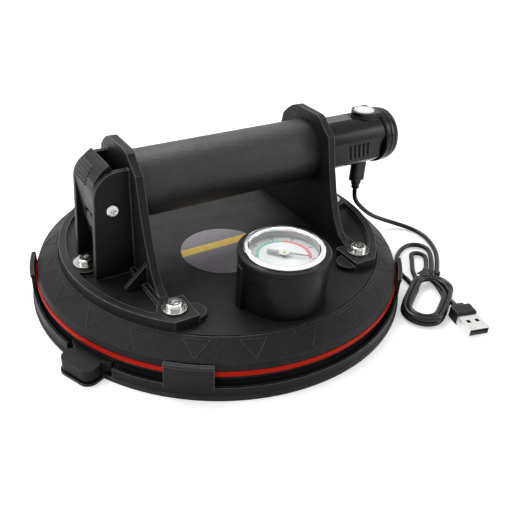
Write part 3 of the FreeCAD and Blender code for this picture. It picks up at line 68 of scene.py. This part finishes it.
# ------------------------------------------------------------------ cord
# Millimetres. LEAD starts from PORT and the other runs from HANK, the middle of the hank.
PORT = (100.6, 0.0)
HANK = (91.4, -84.6)
HANK_TURN = math.radians(33.0)
HALF = 11.6             # half the straight stretch of the hank
CORD_RADIUS = 1.5
LEAD = [(0.0, 0.0, 35.8), (0.0, 0.0, 30.6), (3.0, 0.4, 24.4), (9.0, 0.2, 18.2), (16.6, -1.4, 11.6),
        (26.0, -3.4, 7.0), (35.4, -7.4, 3.4), (42.0, -14.4, 1.8), (44.4, -25.0, 1.7),
        (41.4, -36.0, 1.7), (35.6, -47.2, 1.8), (28.2, -55.4, 2.0), (20.1, -63.2, 2.3),
        (12.2, -70.05, 2.3)]
BACK_LOOP = [(4.6, 20.8, 2.2), (5.6, 28.2, 1.8), (8.8, 35.6, 1.7), (13.8, 42.0, 1.7),
             (19.8, 47.0, 1.7), (26.2, 50.6, 1.7), (31.8, 52.4, 1.7), (36.6, 52.2, 1.7),
             (40.6, 49.8, 1.7), (42.6, 45.8, 1.7), (41.8, 41.2, 1.8), (38.0, 35.8, 2.0),
             (32.8, 29.7, 2.2), (27.1, 24.0, 2.3), (19.2, 17.1, 2.3)]
SMALL_OUT = [(11.2, 21.8, 2.3), (14.4, 27.4, 2.0), (19.0, 32.8, 1.9), (23.8, 38.0, 1.9)]
SMALL_BACK = [(30.0, 31.6, 2.2), (24.9, 26.5, 2.3), (17.0, 19.6, 3.2)]
TAIL = [(4.67, -10.43, 3.8), (3.43, -12.72, 3.9), (1.70, -14.70, 4.0), (-0.19, -16.40, 4.0)]


def fold(x, y, radius, start, end, turns, z):
    """Control points of an arc about x, y, from one angle to another in degrees."""
    step = (end - start) / turns
    out = radius / math.cos(math.radians(step / 2))
    return [(x + out * math.cos(math.radians(start + step * (i + 0.5))),
             y + out * math.sin(math.radians(start + step * (i + 0.5))), z) for i in range(turns)]


def along_hank(along, across, z):
    """From the hank's own directions to the frame's."""
    c, s = math.cos(HANK_TURN), math.sin(HANK_TURN)
    return along * c - across * s, along * s + across * c, z


def lap(radius, low, high, whole=False, turns=6):
    """One turn of the hank: near side, left end, far side and, if whole, the right end."""
    out = radius / math.cos(math.radians(90 / turns))
    places = [(HALF * 0.9, -radius), (0.0, -radius - 0.2)]
    for i in range(turns):
        angle = math.radians(-90 - 180 * (i + 0.5) / turns)
        places.append((-HALF + out * math.cos(angle), out * math.sin(angle)))
    places += [(0.0, radius + 0.2), (HALF * 0.9, radius)]
    if whole:
        for i in range(turns):
            angle = math.radians(90 - 180 * (i + 0.5) / turns)
            places.append((HALF + out * math.cos(angle), out * math.sin(angle)))
    last = len(places) - 1
    return [along_hank(a, b, low + (high - low) * i / last) for i, (a, b) in enumerate(places)]


route = [(PORT[0] + x, PORT[1] + y, z) for x, y, z in LEAD]
winding = lap(11.2, 2.0, 2.0) + BACK_LOOP + lap(8.0, 2.2, 2.0) + SMALL_OUT
winding += fold(29.4, 38.2, 4.6, 138, -42, 6, 2.0) + SMALL_BACK
winding += lap(8.2, 4.9, 4.9, whole=True) + lap(11.0, 4.9, 4.7, whole=True)
winding += [along_hank(*place) for place in TAIL]
route += [(HANK[0] + x, HANK[1] + y, z) for x, y, z in winding]

curve = bpy.data.curves.new("cord", "CURVE")
curve.dimensions = "3D"
curve.bevel_depth = 1.0
curve.bevel_resolution = 6
curve.resolution_u = 10
curve.use_fill_caps = True
spline = curve.splines.new("NURBS")
spline.points.add(len(route) - 1)
for point, place in zip(spline.points, route):
    point.co = (*mm(*place), 1.0)
    point.radius = CORD_RADIUS * MM
spline.order_u = 3
spline.use_endpoint_u = True
cord = bpy.data.objects.new("charging_cord", curve)
scene.collection.objects.link(cord)
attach(cord, "lifter")
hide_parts("cord_lead", "cord_hank", "cord_loop_small", "cord_loop_back", "cord_tail")


# ------------------------------------------------------------------ materials
class Nodes:
    """A small builder for node materials in object space, in metres."""

    def __init__(self, name):
        self.material = bpy.data.materials.new(name)
        self.material.use_nodes = True
        self.tree = self.material.node_tree
        self.shader = self.tree.nodes["Principled BSDF"]
        self.place = self.tree.nodes.new("ShaderNodeTexCoord").outputs["Object"]

    def add(self, kind, **settings):
        node = self.tree.nodes.new(kind)
        for key, value in settings.items():
            setattr(node, key, value)
        return node

    def link(self, source, target):
        self.tree.links.new(source, target)

    def set(self, **values):
        for key, value in values.items():
            self.shader.inputs[key.replace("_", " ")].default_value = value

    def noise(self, scale, detail=3.0, rough=0.55, stretch=None):
        place = self.place
        if stretch:
            mapping = self.add("ShaderNodeMapping")
            mapping.inputs["Scale"].default_value = stretch
            self.link(place, mapping.inputs["Vector"])
            place = mapping.outputs["Vector"]
        node = self.add("ShaderNodeTexNoise")
        node.inputs["Scale"].default_value = scale
        node.inputs["Detail"].default_value = detail
        node.inputs["Roughness"].default_value = rough
        self.link(place, node.inputs["Vector"])
        return node.outputs["Fac"]

    def ramp(self, source, stops):
        node = self.add("ShaderNodeValToRGB")
        points = node.color_ramp.elements
        while len(points) < len(stops):
            points.new(0.5)
        for point, (position, colour) in zip(points, stops):
            point.position = position
            point.color = (*colour, 1.0)
        self.link(source, node.inputs["Fac"])
        return node.outputs["Color"]

    def spread(self, source, low, high, from_low=0.3, from_high=0.7):
        node = self.add("ShaderNodeMapRange")
        for key, value in (("From Min", from_low), ("From Max", from_high),
                           ("To Min", low), ("To Max", high)):
            node.inputs[key].default_value = value
        self.link(source, node.inputs["Value"])
        return node.outputs["Result"]

    def bump(self, source, distance, normal=None):
        node = self.add("ShaderNodeBump")
        node.inputs["Distance"].default_value = distance
        node.inputs["Strength"].default_value = 1.0
        self.link(source, node.inputs["Height"])
        if normal:
            self.link(normal, node.inputs["Normal"])
        return node.outputs["Normal"]

    def soft_edges(self, radius):
        node = self.add("ShaderNodeBevel", samples=4)
        node.inputs["Radius"].default_value = radius
        return node.outputs["Normal"]

    def mix(self, factor, first, second):
        node = self.add("ShaderNodeMix", data_type="RGBA", blend_type="MIX")
        for socket, value in ((0, factor), (6, first), (7, second)):
            if isinstance(value, tuple):
                node.inputs[socket].default_value = (*value, 1.0)
            elif isinstance(value, (int, float)):
                node.inputs[socket].default_value = value
            else:
                self.link(value, node.inputs[socket])
        return node.outputs[2]

    def maths(self, kind, first, second=None):
        node = self.add("ShaderNodeMath", operation=kind)
        for socket, value in enumerate((first,) if second is None else (first, second)):
            if isinstance(value, (int, float)):
                node.inputs[socket].default_value = value
            else:
                self.link(value, node.inputs[socket])
        return node.outputs[0]


SPECKLE_LIFT = 0.014            # how much paler the grain's high spots are
# Painted highlight and wear: soft corners are paled towards this grey, partly as rubbed wear and
# partly as painted highlight lines along the edges.
EDGE_WEAR_AND_HIGHLIGHT_GREY = (0.30, 0.30, 0.31)
PAINTED_SHADE_REACH = 0.014            # metres: painted shade, gloss is dimmed in hollows narrower than this


def plastic(name, dark, light, rough=0.5, grain=2200.0, depth=0.00006, edge=0.0004, level=0.5,
            stretch=None, edge_wear_and_highlight=0.10):
    """Moulded plastic or rubber: mottled colour, a fine grain, soft corners paled partly by wear and
    partly by painted highlight, gloss dimmed in hollows as painted shade.
    """
    n = Nodes(name)
    tone = n.ramp(n.noise(45.0, 4.0), [(0.3, dark), (0.7, light)])
    speckle = n.noise(grain * 0.6, 3.0, 0.7, stretch)
    tone = n.mix(n.spread(speckle, 0.0, 0.5, 0.45, 0.75), tone, tuple(c + SPECKLE_LIFT for c in light))
    corners = n.soft_edges(edge)
    flat = n.add("ShaderNodeNewGeometry").outputs["Normal"]
    facing = n.add("ShaderNodeVectorMath", operation="DOT_PRODUCT")
    n.link(corners, facing.inputs[0])
    n.link(flat, facing.inputs[1])
    # Painted highlight: this mask pales the corners, standing partly for wear and partly for highlight
    # lines on the edges.
    wear_and_highlight_mask = n.maths("MULTIPLY", n.spread(facing.outputs["Value"], 1.0, 0.0, 0.80, 0.99),
                     n.spread(n.noise(260.0, 4.0), 0.4, 1.0))
    tone = n.mix(n.maths("MULTIPLY", wear_and_highlight_mask, edge_wear_and_highlight), tone, EDGE_WEAR_AND_HIGHLIGHT_GREY)
    n.link(tone, n.shader.inputs["Base Color"])
    n.link(n.spread(n.noise(130.0, 5.0), rough - 0.05, rough + 0.08), n.shader.inputs["Roughness"])
    # Painted shade: ambient occlusion dims the gloss in hollows and creases, where shade falls.
    painted_hollow_shade = n.add("ShaderNodeAmbientOcclusion", samples=4)
    painted_hollow_shade.inputs["Distance"].default_value = PAINTED_SHADE_REACH
    n.link(n.spread(painted_hollow_shade.outputs["AO"], 0.25 * level, level, 0.35, 0.80),
           n.shader.inputs["Specular IOR Level"])
    normal = n.bump(n.noise(grain, 2.0, 0.6, stretch), depth, corners)
    n.link(normal, n.shader.inputs["Normal"])
    return n.material


def metal(name, dark, light, rough=0.22, brush=(1, 1, 1), depth=0.00001, edge=0.0002, metallic=1.0):
    """Plated or brushed metal with fine streaks and uneven polish."""
    n = Nodes(name)
    n.set(Metallic=metallic)
    n.link(n.ramp(n.noise(160.0, 4.0), [(0.3, dark), (0.7, light)]), n.shader.inputs["Base Color"])
    n.link(n.spread(n.noise(900.0, 4.0, stretch=brush), rough - 0.05, rough + 0.08),
           n.shader.inputs["Roughness"])
    n.link(n.bump(n.noise(3000.0, 2.0, stretch=brush), depth, n.soft_edges(edge)),
           n.shader.inputs["Normal"])
    return n.material


def grey(low, high, tint=1.04):
    """Two greys for a ramp, with a little more or less blue."""
    return (low, low, low * tint), (high, high, high * tint)


def shade(node, material):
    """Give a CAD node its one material."""
    thing = bpy.data.objects[node]
    thing.data.materials.clear()
    thing.data.materials.append(material)


# Middles seen from above, in millimetres.
BUTTON = (98.9, 0.0)
STICKER = (-6.0, -14.2)
GAUGE = (0.0, -65.0)

LOOK = {
    "pad_cover": plastic("cover_black", *grey(0.005, 0.009), 0.40, 1500, 0.00004, edge=0.0007,
                        level=0.15, edge_wear_and_highlight=0.9),
    "suction_pad": plastic("rubber_black", *grey(0.008, 0.013), 0.46, 900, 0.00003, edge=0.0007,
                           level=0.12, edge_wear_and_highlight=0.3),
    "seal_ring": plastic("ring_red", (0.46, 0.010, 0.003), (0.54, 0.015, 0.004), 0.5, 1200, 0.00001,
                         level=0.06, edge_wear_and_highlight=0.0),
    "body_disc": plastic("disc_black", *grey(0.006, 0.012), 0.50, 1100, 0.00022, edge=0.0007,
                         level=0.15, edge_wear_and_highlight=0.4),
    "bracket_left": plastic("bracket_black", *grey(0.006, 0.010), 0.44, 1300, 0.00010, edge=0.0009,
                            level=0.17, edge_wear_and_highlight=0.95),
    "grip_tube": plastic("grip_black", *grey(0.011, 0.019), 0.46, 1100, 0.00024, level=0.42,
                         stretch=(0.45, 1.0, 1.0)),
    "release_lever": plastic("lever_black", *grey(0.005, 0.009), 0.40, 1700, 0.00005, edge=0.0007,
                             level=0.19, edge_wear_and_highlight=0.8),
    "module_housing": plastic("module_black", *grey(0.003, 0.005), 0.20, 1900, 0.00002, edge=0.0006,
                              level=0.19, edge_wear_and_highlight=0.3),
    "gauge_cup": plastic("cup_black", *grey(0.005, 0.007), 0.28, 700, 0.00001, edge=0.0005, level=0.14,
                         stretch=(0.5, 0.5, 4.0), edge_wear_and_highlight=0.12),
    "plug_a_grip": plastic("plug_black", *grey(0.006, 0.010), 0.40, 1500, 0.00004, level=0.24),
    "grip_core": plastic("core_grey", *grey(0.16, 0.22), 0.5),
    "battery_cell": plastic("cell_blue", (0.06, 0.16, 0.45), (0.09, 0.22, 0.55), 0.3),
    "control_board": plastic("board_green", (0.03, 0.16, 0.07), (0.05, 0.22, 0.10), 0.4),
    # The tongue is partly its own dark colour and partly painted shade, so that the plug's open mouth
    # reads dark.
    "plug_a_tongue": plastic("tongue_dark_and_shade", *grey(0.010, 0.016), 0.5, edge_wear_and_highlight=0.0),
    "backing_plate": metal("sheet_steel", (0.42, 0.42, 0.43), (0.56, 0.56, 0.57), 0.38, (1, 14, 1)),
    "bracket_bolts": metal("bolt_steel", (0.52, 0.51, 0.49), (0.64, 0.63, 0.61), 0.15, depth=0.000002),
    "plug_a_shell": metal("plug_steel", (0.69, 0.685, 0.67), (0.79, 0.78, 0.77), 0.26, (1, 10, 1),
                          metallic=0.9),
    "gauge_bezel": metal("bezel_chrome", (0.90, 0.90, 0.91), (0.96, 0.96, 0.97), 0.13,
                         depth=0.000001, edge=0.0004),
    "valve_body": metal("valve_brass", (0.60, 0.42, 0.17), (0.72, 0.52, 0.24), 0.30),
    "pump_motor": metal("motor_steel", (0.45, 0.45, 0.46), (0.60, 0.60, 0.61), 0.34, (10, 1, 1)),
}
# Nodes that look like another.
SAME = {
    "bracket_right": "bracket_left", "module_cap": "module_housing", "port_flap": "module_housing",
    "plug_c_grip": "plug_a_grip", "cord_tie": "plug_a_grip", "inlet_filter": "grip_core",
    "clamp_plate": "backing_plate", "clamp_screws": "bracket_bolts",
    "lever_screws": "bracket_bolts", "valve_stem": "release_lever", "port_socket": "plug_a_shell",
    "plug_c_shell": "plug_a_shell", "vacuum_pump": "pump_motor", "gauge_movement": "valve_body",
}
for node, material in LOOK.items():
    shade(node, material)
for node, like in SAME.items():
    shade(node, LOOK[like])
cord.data.materials.append(plastic("cord_black", *grey(0.004, 0.006), 0.20, 1400, 0.00001, level=0.34))


def glass():
    """Flat clear pane over the dial."""
    n = Nodes("clear_glass")
    n.set(Base_Color=(0.97, 0.985, 0.99, 1.0), Roughness=0.01, IOR=1.15, Transmission_Weight=1.0)
    n.link(n.bump(n.noise(60.0, 2.0), 0.00001), n.shader.inputs["Normal"])
    return n.material


def from_axis(n, x, y):
    """Distance from the upright line through x, y, and how far past it along Y, in millimetres."""
    sep = n.add("ShaderNodeSeparateXYZ")
    n.link(n.place, sep.inputs["Vector"])
    dx = n.maths("SUBTRACT", sep.outputs["X"], x * MM)
    dy = n.maths("SUBTRACT", sep.outputs["Y"], y * MM)
    reach = n.maths("SQRT", n.maths("ADD", n.maths("MULTIPLY", dx, dx), n.maths("MULTIPLY", dy, dy)))
    return n.maths("MULTIPLY", reach, 1 / MM), n.maths("MULTIPLY", dy, 1 / MM)


def button_look():
    """Translucent grey-white push button, paler in the middle."""
    n = Nodes("button_light")
    reach, _ = from_axis(n, *BUTTON)
    radius = 6.3
    tone = n.ramp(n.maths("MULTIPLY", reach, 1 / radius),
                  [(0.0, (0.74, 0.74, 0.74)), (0.60, (0.70, 0.70, 0.70)), (0.72, (0.50, 0.50, 0.51)),
                   (0.80, (0.64, 0.64, 0.65)), (0.99, (0.52, 0.52, 0.53))])
    n.link(tone, n.shader.inputs["Base Color"])
    n.link(n.spread(n.noise(400.0, 3.0), 0.34, 0.46), n.shader.inputs["Roughness"])
    n.set(Subsurface_Weight=0.1, Subsurface_Scale=0.002)
    n.link(n.bump(n.noise(900.0, 3.0), 0.000004, n.soft_edges(0.0004)), n.shader.inputs["Normal"])
    return n.material


def sticker_look():
    """Plain printed disc: grey upper part, a yellow band, a darker lower part and a thin pale rim."""
    n = Nodes("sticker_print")
    reach, up = from_axis(n, *STICKER)
    band_low, band_high, rim_start = 3.2, 9.4, 23.0
    paper = n.noise(300.0, 4.0)
    high = n.ramp(paper, [(0.3, (0.150, 0.132, 0.150)), (0.7, (0.195, 0.172, 0.198))])
    low = n.ramp(paper, [(0.3, (0.120, 0.110, 0.125)), (0.7, (0.155, 0.142, 0.160))])
    band = n.ramp(paper, [(0.3, (0.66, 0.43, 0.03)), (0.7, (0.78, 0.54, 0.05))])
    tone = n.mix(n.spread(up, 0.0, 1.0, band_low, band_low + 0.1), low, high)
    inside = n.maths("MULTIPLY", n.spread(up, 0.0, 1.0, band_low, band_low + 0.15),
                     n.spread(up, 1.0, 0.0, band_high, band_high + 0.15))
    tone = n.mix(inside, tone, band)
    tone = n.mix(n.spread(reach, 0.0, 0.5, rim_start, rim_start + 0.1), tone, (0.22, 0.21, 0.22))
    n.link(tone, n.shader.inputs["Base Color"])
    n.link(n.spread(n.noise(500.0, 3.0), 0.36, 0.5), n.shader.inputs["Roughness"])
    n.set(Specular_IOR_Level=0.4)
    n.link(n.bump(n.noise(500.0, 3.0), 0.00002), n.shader.inputs["Normal"])
    return n.material


def needle_look():
    """Thin grey pointer with a pale hub cap."""
    n = Nodes("needle_paint")
    reach, _ = from_axis(n, *GAUGE)
    hub = 2.55
    paint = n.ramp(n.noise(400.0, 3.0), [(0.3, (0.25, 0.235, 0.24)), (0.7, (0.33, 0.315, 0.32))])
    tone = n.mix(n.spread(reach, 1.0, 0.0, hub, hub + 0.1), paint, (0.62, 0.62, 0.61))
    n.link(tone, n.shader.inputs["Base Color"])
    n.link(n.spread(n.noise(500.0, 3.0), 0.3, 0.42), n.shader.inputs["Roughness"])
    n.link(n.bump(n.noise(1500.0, 2.0), 0.00001), n.shader.inputs["Normal"])
    return n.material


shade("gauge_glass", glass())
shade("power_button", button_look())
shade("round_sticker", sticker_look())
shade("rating_plate", plastic("label_black", *grey(0.006, 0.010), 0.16, 300, 0.00002, level=0.6))
shade("gauge_dial", plastic("dial_white", (0.62, 0.62, 0.62), (0.68, 0.68, 0.67), 0.5, 700, 0.00001,
                            edge_wear_and_highlight=0.0))
shade("gauge_case", plastic("case_enamel", *grey(0.44, 0.52, 1.02), 0.4, edge_wear_and_highlight=0.0))
shade("gauge_needle", needle_look())


# ------------------------------------------------------------------ dial print and moulded triangles
def ink(name, dark, light):
    """Flat print on the dial."""
    return plastic(name, dark, light, 0.55, 1500, 0.000005, level=0.3, edge_wear_and_highlight=0.0)


def prism(bm, corners, low, high):
    """A closed upright prism on the given corners, in millimetres."""
    bottom = [bm.verts.new(mm(x, y, low)) for x, y in corners]
    top = [bm.verts.new(mm(x, y, high)) for x, y in corners]
    bm.faces.new(top)
    bm.faces.new(list(reversed(bottom)))
    for i in range(len(corners)):
        j = (i + 1) % len(corners)
        bm.faces.new((bottom[i], bottom[j], top[j], top[i]))


FACE = 48.7                                         # height of the dial's face
PRINT_LOW, PRINT_HIGH = FACE - 0.02, FACE + 0.04    # the print is sunk a little, so that it meets it
ARC_INNER, ARC_OUTER = 12.5, 14.1
SCALE_START, SCALE_MIDDLE, SCALE_END = 160.0, 60.0, -40.0


def sector(bm, inner, outer, start, end, material, steps):
    """A thin piece of a ring round the gauge's axis, in short equal steps, closed all round."""
    x, y = GAUGE
    rim = []
    for i in range(steps + 1):
        angle = math.radians(start + (end - start) * i / steps)
        rim.append((math.cos(angle), math.sin(angle)))
    rings = []
    for radius, z in ((inner, PRINT_LOW), (outer, PRINT_LOW),
                      (outer, PRINT_HIGH), (inner, PRINT_HIGH)):
        rings.append([bm.verts.new(mm(x + radius * c, y + radius * s, z)) for c, s in rim])
    for i in range(steps):
        for a in range(4):
            b = (a + 1) % 4
            face = bm.faces.new((rings[a][i], rings[b][i], rings[b][i + 1], rings[a][i + 1]))
            face.material_index = material
    for i in (0, steps):
        bm.faces.new([ring[i] for ring in rings]).material_index = material


def piece(name, bm, materials):
    """Turn the mesh into a named piece that rides on the lifter."""
    bmesh.ops.recalc_face_normals(bm, faces=bm.faces)
    mesh = bpy.data.meshes.new(name)
    bm.to_mesh(mesh)
    bm.free()
    for material in materials:
        mesh.materials.append(material)
    thing = bpy.data.objects.new(name, mesh)
    scene.collection.objects.link(thing)
    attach(thing, "lifter")


dial = bmesh.new()
sector(dial, ARC_INNER, ARC_OUTER, SCALE_MIDDLE, SCALE_START, 0, 40)
sector(dial, ARC_INNER, ARC_OUTER, SCALE_END, SCALE_MIDDLE, 1, 40)
for i in range(21):
    angle = SCALE_START - 10.0 * i
    tick, half = (0.9, 0.9) if i % 4 == 0 else (0.5, 0.6)
    sector(dial, ARC_OUTER, ARC_OUTER + tick, angle - half, angle + half, 2, 2)
piece("dial_scale", dial, [ink("print_green", (0.20, 0.48, 0.38), (0.26, 0.54, 0.44)),
                           ink("print_red", (0.66, 0.16, 0.17), (0.74, 0.22, 0.22)),
                           ink("print_grey", (0.10, 0.10, 0.11), (0.14, 0.14, 0.15))])

NUMBER_RADIUS, NUMBER_TURN = 16.3, -30.0
numbers = bmesh.new()
for i, value in enumerate((0, 20, 40, 60, 80, 100)):
    angle = math.radians(SCALE_START - 40.0 * i)
    text = bpy.data.curves.new("number", "FONT")
    text.body = str(value)
    text.size = 2.0 * MM
    text.extrude = 0.02 * MM
    text.resolution_u = 2
    text.align_x = "CENTER"
    text.align_y = "CENTER"
    carrier = bpy.data.objects.new("number", text)
    shape = bpy.data.meshes.new_from_object(carrier)
    at = Matrix.Translation(mm(GAUGE[0] + NUMBER_RADIUS * math.cos(angle),
                               GAUGE[1] + NUMBER_RADIUS * math.sin(angle), FACE + 0.02))
    shape.transform(at @ Matrix.Rotation(math.radians(NUMBER_TURN), 4, "Z"))
    numbers.from_mesh(shape)
    bpy.data.meshes.remove(shape)
    bpy.data.objects.remove(carrier)
piece("dial_numbers", numbers, [ink("number_grey", (0.06, 0.06, 0.07), (0.09, 0.09, 0.10))])

# The disc's sloping rim: where it starts, its height there and how much it falls.
RIM_RADIUS, RIM_HEIGHT, RIM_FALL = 91.9, 25.8, 0.625
TRIANGLES, FIRST_TRIANGLE, HALF_TRIANGLE = 22, -109.2, 3.9
BASE_RADIUS, TIP_RADIUS = 93.6, 101.7


def on_slope(radius, angle):
    """A point on the disc's sloping rim."""
    turn = math.radians(angle)
    return Vector((radius * math.cos(turn), radius * math.sin(turn),
                   RIM_HEIGHT - (radius - RIM_RADIUS) * RIM_FALL))


def ridge(bm, points, width, sunk, proud):
    """A thin raised line that follows the points, sunk below them and proud above, in millimetres."""
    up = Vector((0.0, 0.0, 1.0))
    sections = []
    for i, point in enumerate(points):
        ahead = points[min(i + 1, len(points) - 1)] - points[max(i - 1, 0)]
        side = ahead.cross(up).normalized() * (width / 2)
        sections.append([bm.verts.new((point + shift) * MM) for shift in (
            side - up * sunk, side + up * proud * 0.4, side * 0.5 + up * proud,
            -side * 0.5 + up * proud, -side + up * proud * 0.4, -side - up * sunk)])
    for first, second in zip(sections, sections[1:]):
        for k in range(6):
            m = (k + 1) % 6
            bm.faces.new((first[k], first[m], second[m], second[k]))
    bm.faces.new(sections[0])
    bm.faces.new(list(reversed(sections[-1])))


def between(start, end, steps=5):
    """Polar steps from one (radius, angle) to another, on the slope."""
    return [on_slope(start[0] + (end[0] - start[0]) * i / steps,
                     start[1] + (end[1] - start[1]) * i / steps) for i in range(steps + 1)]


triangles = bmesh.new()
for i in range(TRIANGLES):
    centre = FIRST_TRIANGLE + i * 360.0 / TRIANGLES
    left = (BASE_RADIUS, centre - HALF_TRIANGLE)
    tip = (TIP_RADIUS, centre)
    far = (BASE_RADIUS, centre + HALF_TRIANGLE)
    for start, end in ((left, tip), (tip, far), (far, left)):
        ridge(triangles, between(start, end), width=0.55, sunk=0.3, proud=0.22)
piece("disc_triangles", triangles, [LOOK["body_disc"]])

# Two dark windows in the top of the plug's shell, in the plug's own directions: thin dark sheets,
# painted shade for the hollow inside the shell.
PLUG = (97.4, -108.8)
PLUG_TURN = math.radians(-105.0)
windows = bmesh.new()
for side in (-2.7, 2.7):
    corners = []
    for along, across in ((4.2, -1.1), (6.6, -1.1), (6.6, 1.1), (4.2, 1.1)):
        u, v = along, across + side
        corners.append((PLUG[0] + u * math.cos(PLUG_TURN) - v * math.sin(PLUG_TURN),
                        PLUG[1] + u * math.sin(PLUG_TURN) + v * math.cos(PLUG_TURN)))
    prism(windows, corners, 6.2, 6.28)
piece("plug_windows", windows, [plastic("window_painted_shade", *grey(0.004, 0.006), 0.7, level=0.1)])


# ------------------------------------------------------------------ floor, world and lamps
WHITE = (1, 1, 1, 1)
FLOOR_GLOW, FAR_GLOW = 0.45, 1.0            # seen directly or in a reflection, near and far
NEAR_REACH, FAR_REACH = 220.0, 1400.0       # millimetres from the middle

bpy.ops.mesh.primitive_plane_add(size=6.0, location=(0, 0, -0.0002))
floor = bpy.context.object
floor.name = "floor"
n = Nodes("floor_pale")
n.set(Base_Color=(0.80, 0.80, 0.80, 1.0), Roughness=0.7, Specular_IOR_Level=0.2)
path = n.add("ShaderNodeLightPath")
seen = n.maths("MAXIMUM", path.outputs["Is Camera Ray"], path.outputs["Is Glossy Ray"])
seen = n.maths("MAXIMUM", seen, path.outputs["Is Transmission Ray"])
glow = n.add("ShaderNodeEmission")
glow.inputs["Color"].default_value = WHITE
reach, _ = from_axis(n, 0.0, 0.0)
n.link(n.maths("MULTIPLY", seen, n.spread(reach, FLOOR_GLOW, FAR_GLOW, NEAR_REACH, FAR_REACH)),
       glow.inputs["Strength"])
both = n.add("ShaderNodeAddShader")
n.link(n.shader.outputs["BSDF"], both.inputs[0])
n.link(glow.outputs["Emission"], both.inputs[1])
n.link(both.outputs["Shader"], n.tree.nodes["Material Output"].inputs["Surface"])
floor.data.materials.append(n.material)

world = bpy.data.worlds.new("studio")
scene.world = world
world.use_nodes = True
nodes, link = world.node_tree.nodes, world.node_tree.links.new
ground = nodes["Background"]        # what lights the object: dim below, brighter above
ground.inputs["Color"].default_value = WHITE
height = nodes.new("ShaderNodeSeparateXYZ")
link(nodes.new("ShaderNodeTexCoord").outputs["Generated"], height.inputs["Vector"])
fade = nodes.new("ShaderNodeMapRange")
for key, value in (("From Min", 0.05), ("From Max", 0.5), ("To Min", 0.10), ("To Max", 0.50)):
    fade.inputs[key].default_value = value
link(height.outputs["Z"], fade.inputs["Value"])
link(fade.outputs["Result"], ground.inputs["Strength"])
bright = nodes.new("ShaderNodeBackground")      # what is seen directly, through glass or mirrored
bright.inputs["Color"].default_value = WHITE
bright.inputs["Strength"].default_value = 1.0
rays = nodes.new("ShaderNodeLightPath")
either = nodes.new("ShaderNodeMath")
either.operation = "MAXIMUM"
link(rays.outputs["Is Camera Ray"], either.inputs[0])
link(rays.outputs["Is Transmission Ray"], either.inputs[1])
shown = nodes.new("ShaderNodeMath")
shown.operation = "MAXIMUM"
link(either.outputs[0], shown.inputs[0])
link(rays.outputs["Is Glossy Ray"], shown.inputs[1])
choose = nodes.new("ShaderNodeMixShader")
link(shown.outputs[0], choose.inputs["Fac"])
link(ground.outputs["Background"], choose.inputs[1])
link(bright.outputs["Background"], choose.inputs[2])
link(choose.outputs["Shader"], nodes["World Output"].inputs["Surface"])


def lamp(name, place, aim, size, power):
    """A rectangular lamp; places and sizes in metres, power in watts."""
    light = bpy.data.lights.new(name, "AREA")
    light.shape = "RECTANGLE"
    light.size, light.size_y = size
    light.energy = power
    thing = bpy.data.objects.new(name, light)
    scene.collection.objects.link(thing)
    thing.location = place
    thing.rotation_euler = (Vector(aim) - Vector(place)).to_track_quat("-Z", "Y").to_euler()


lamp("top", (-0.05, 0.45, 0.85), (0, 0, 0.03), (1.0, 0.5), 9.0)
lamp("left", (-0.9, 0.05, 0.5), (0, 0, 0.04), (0.4, 0.7), 2.6)
lamp("right", (0.75, -0.45, 0.4), (0, 0, 0.04), (0.3, 0.5), 2.2)

scene.view_settings.view_transform = "Standard"

bpy.context.view_layer.update()
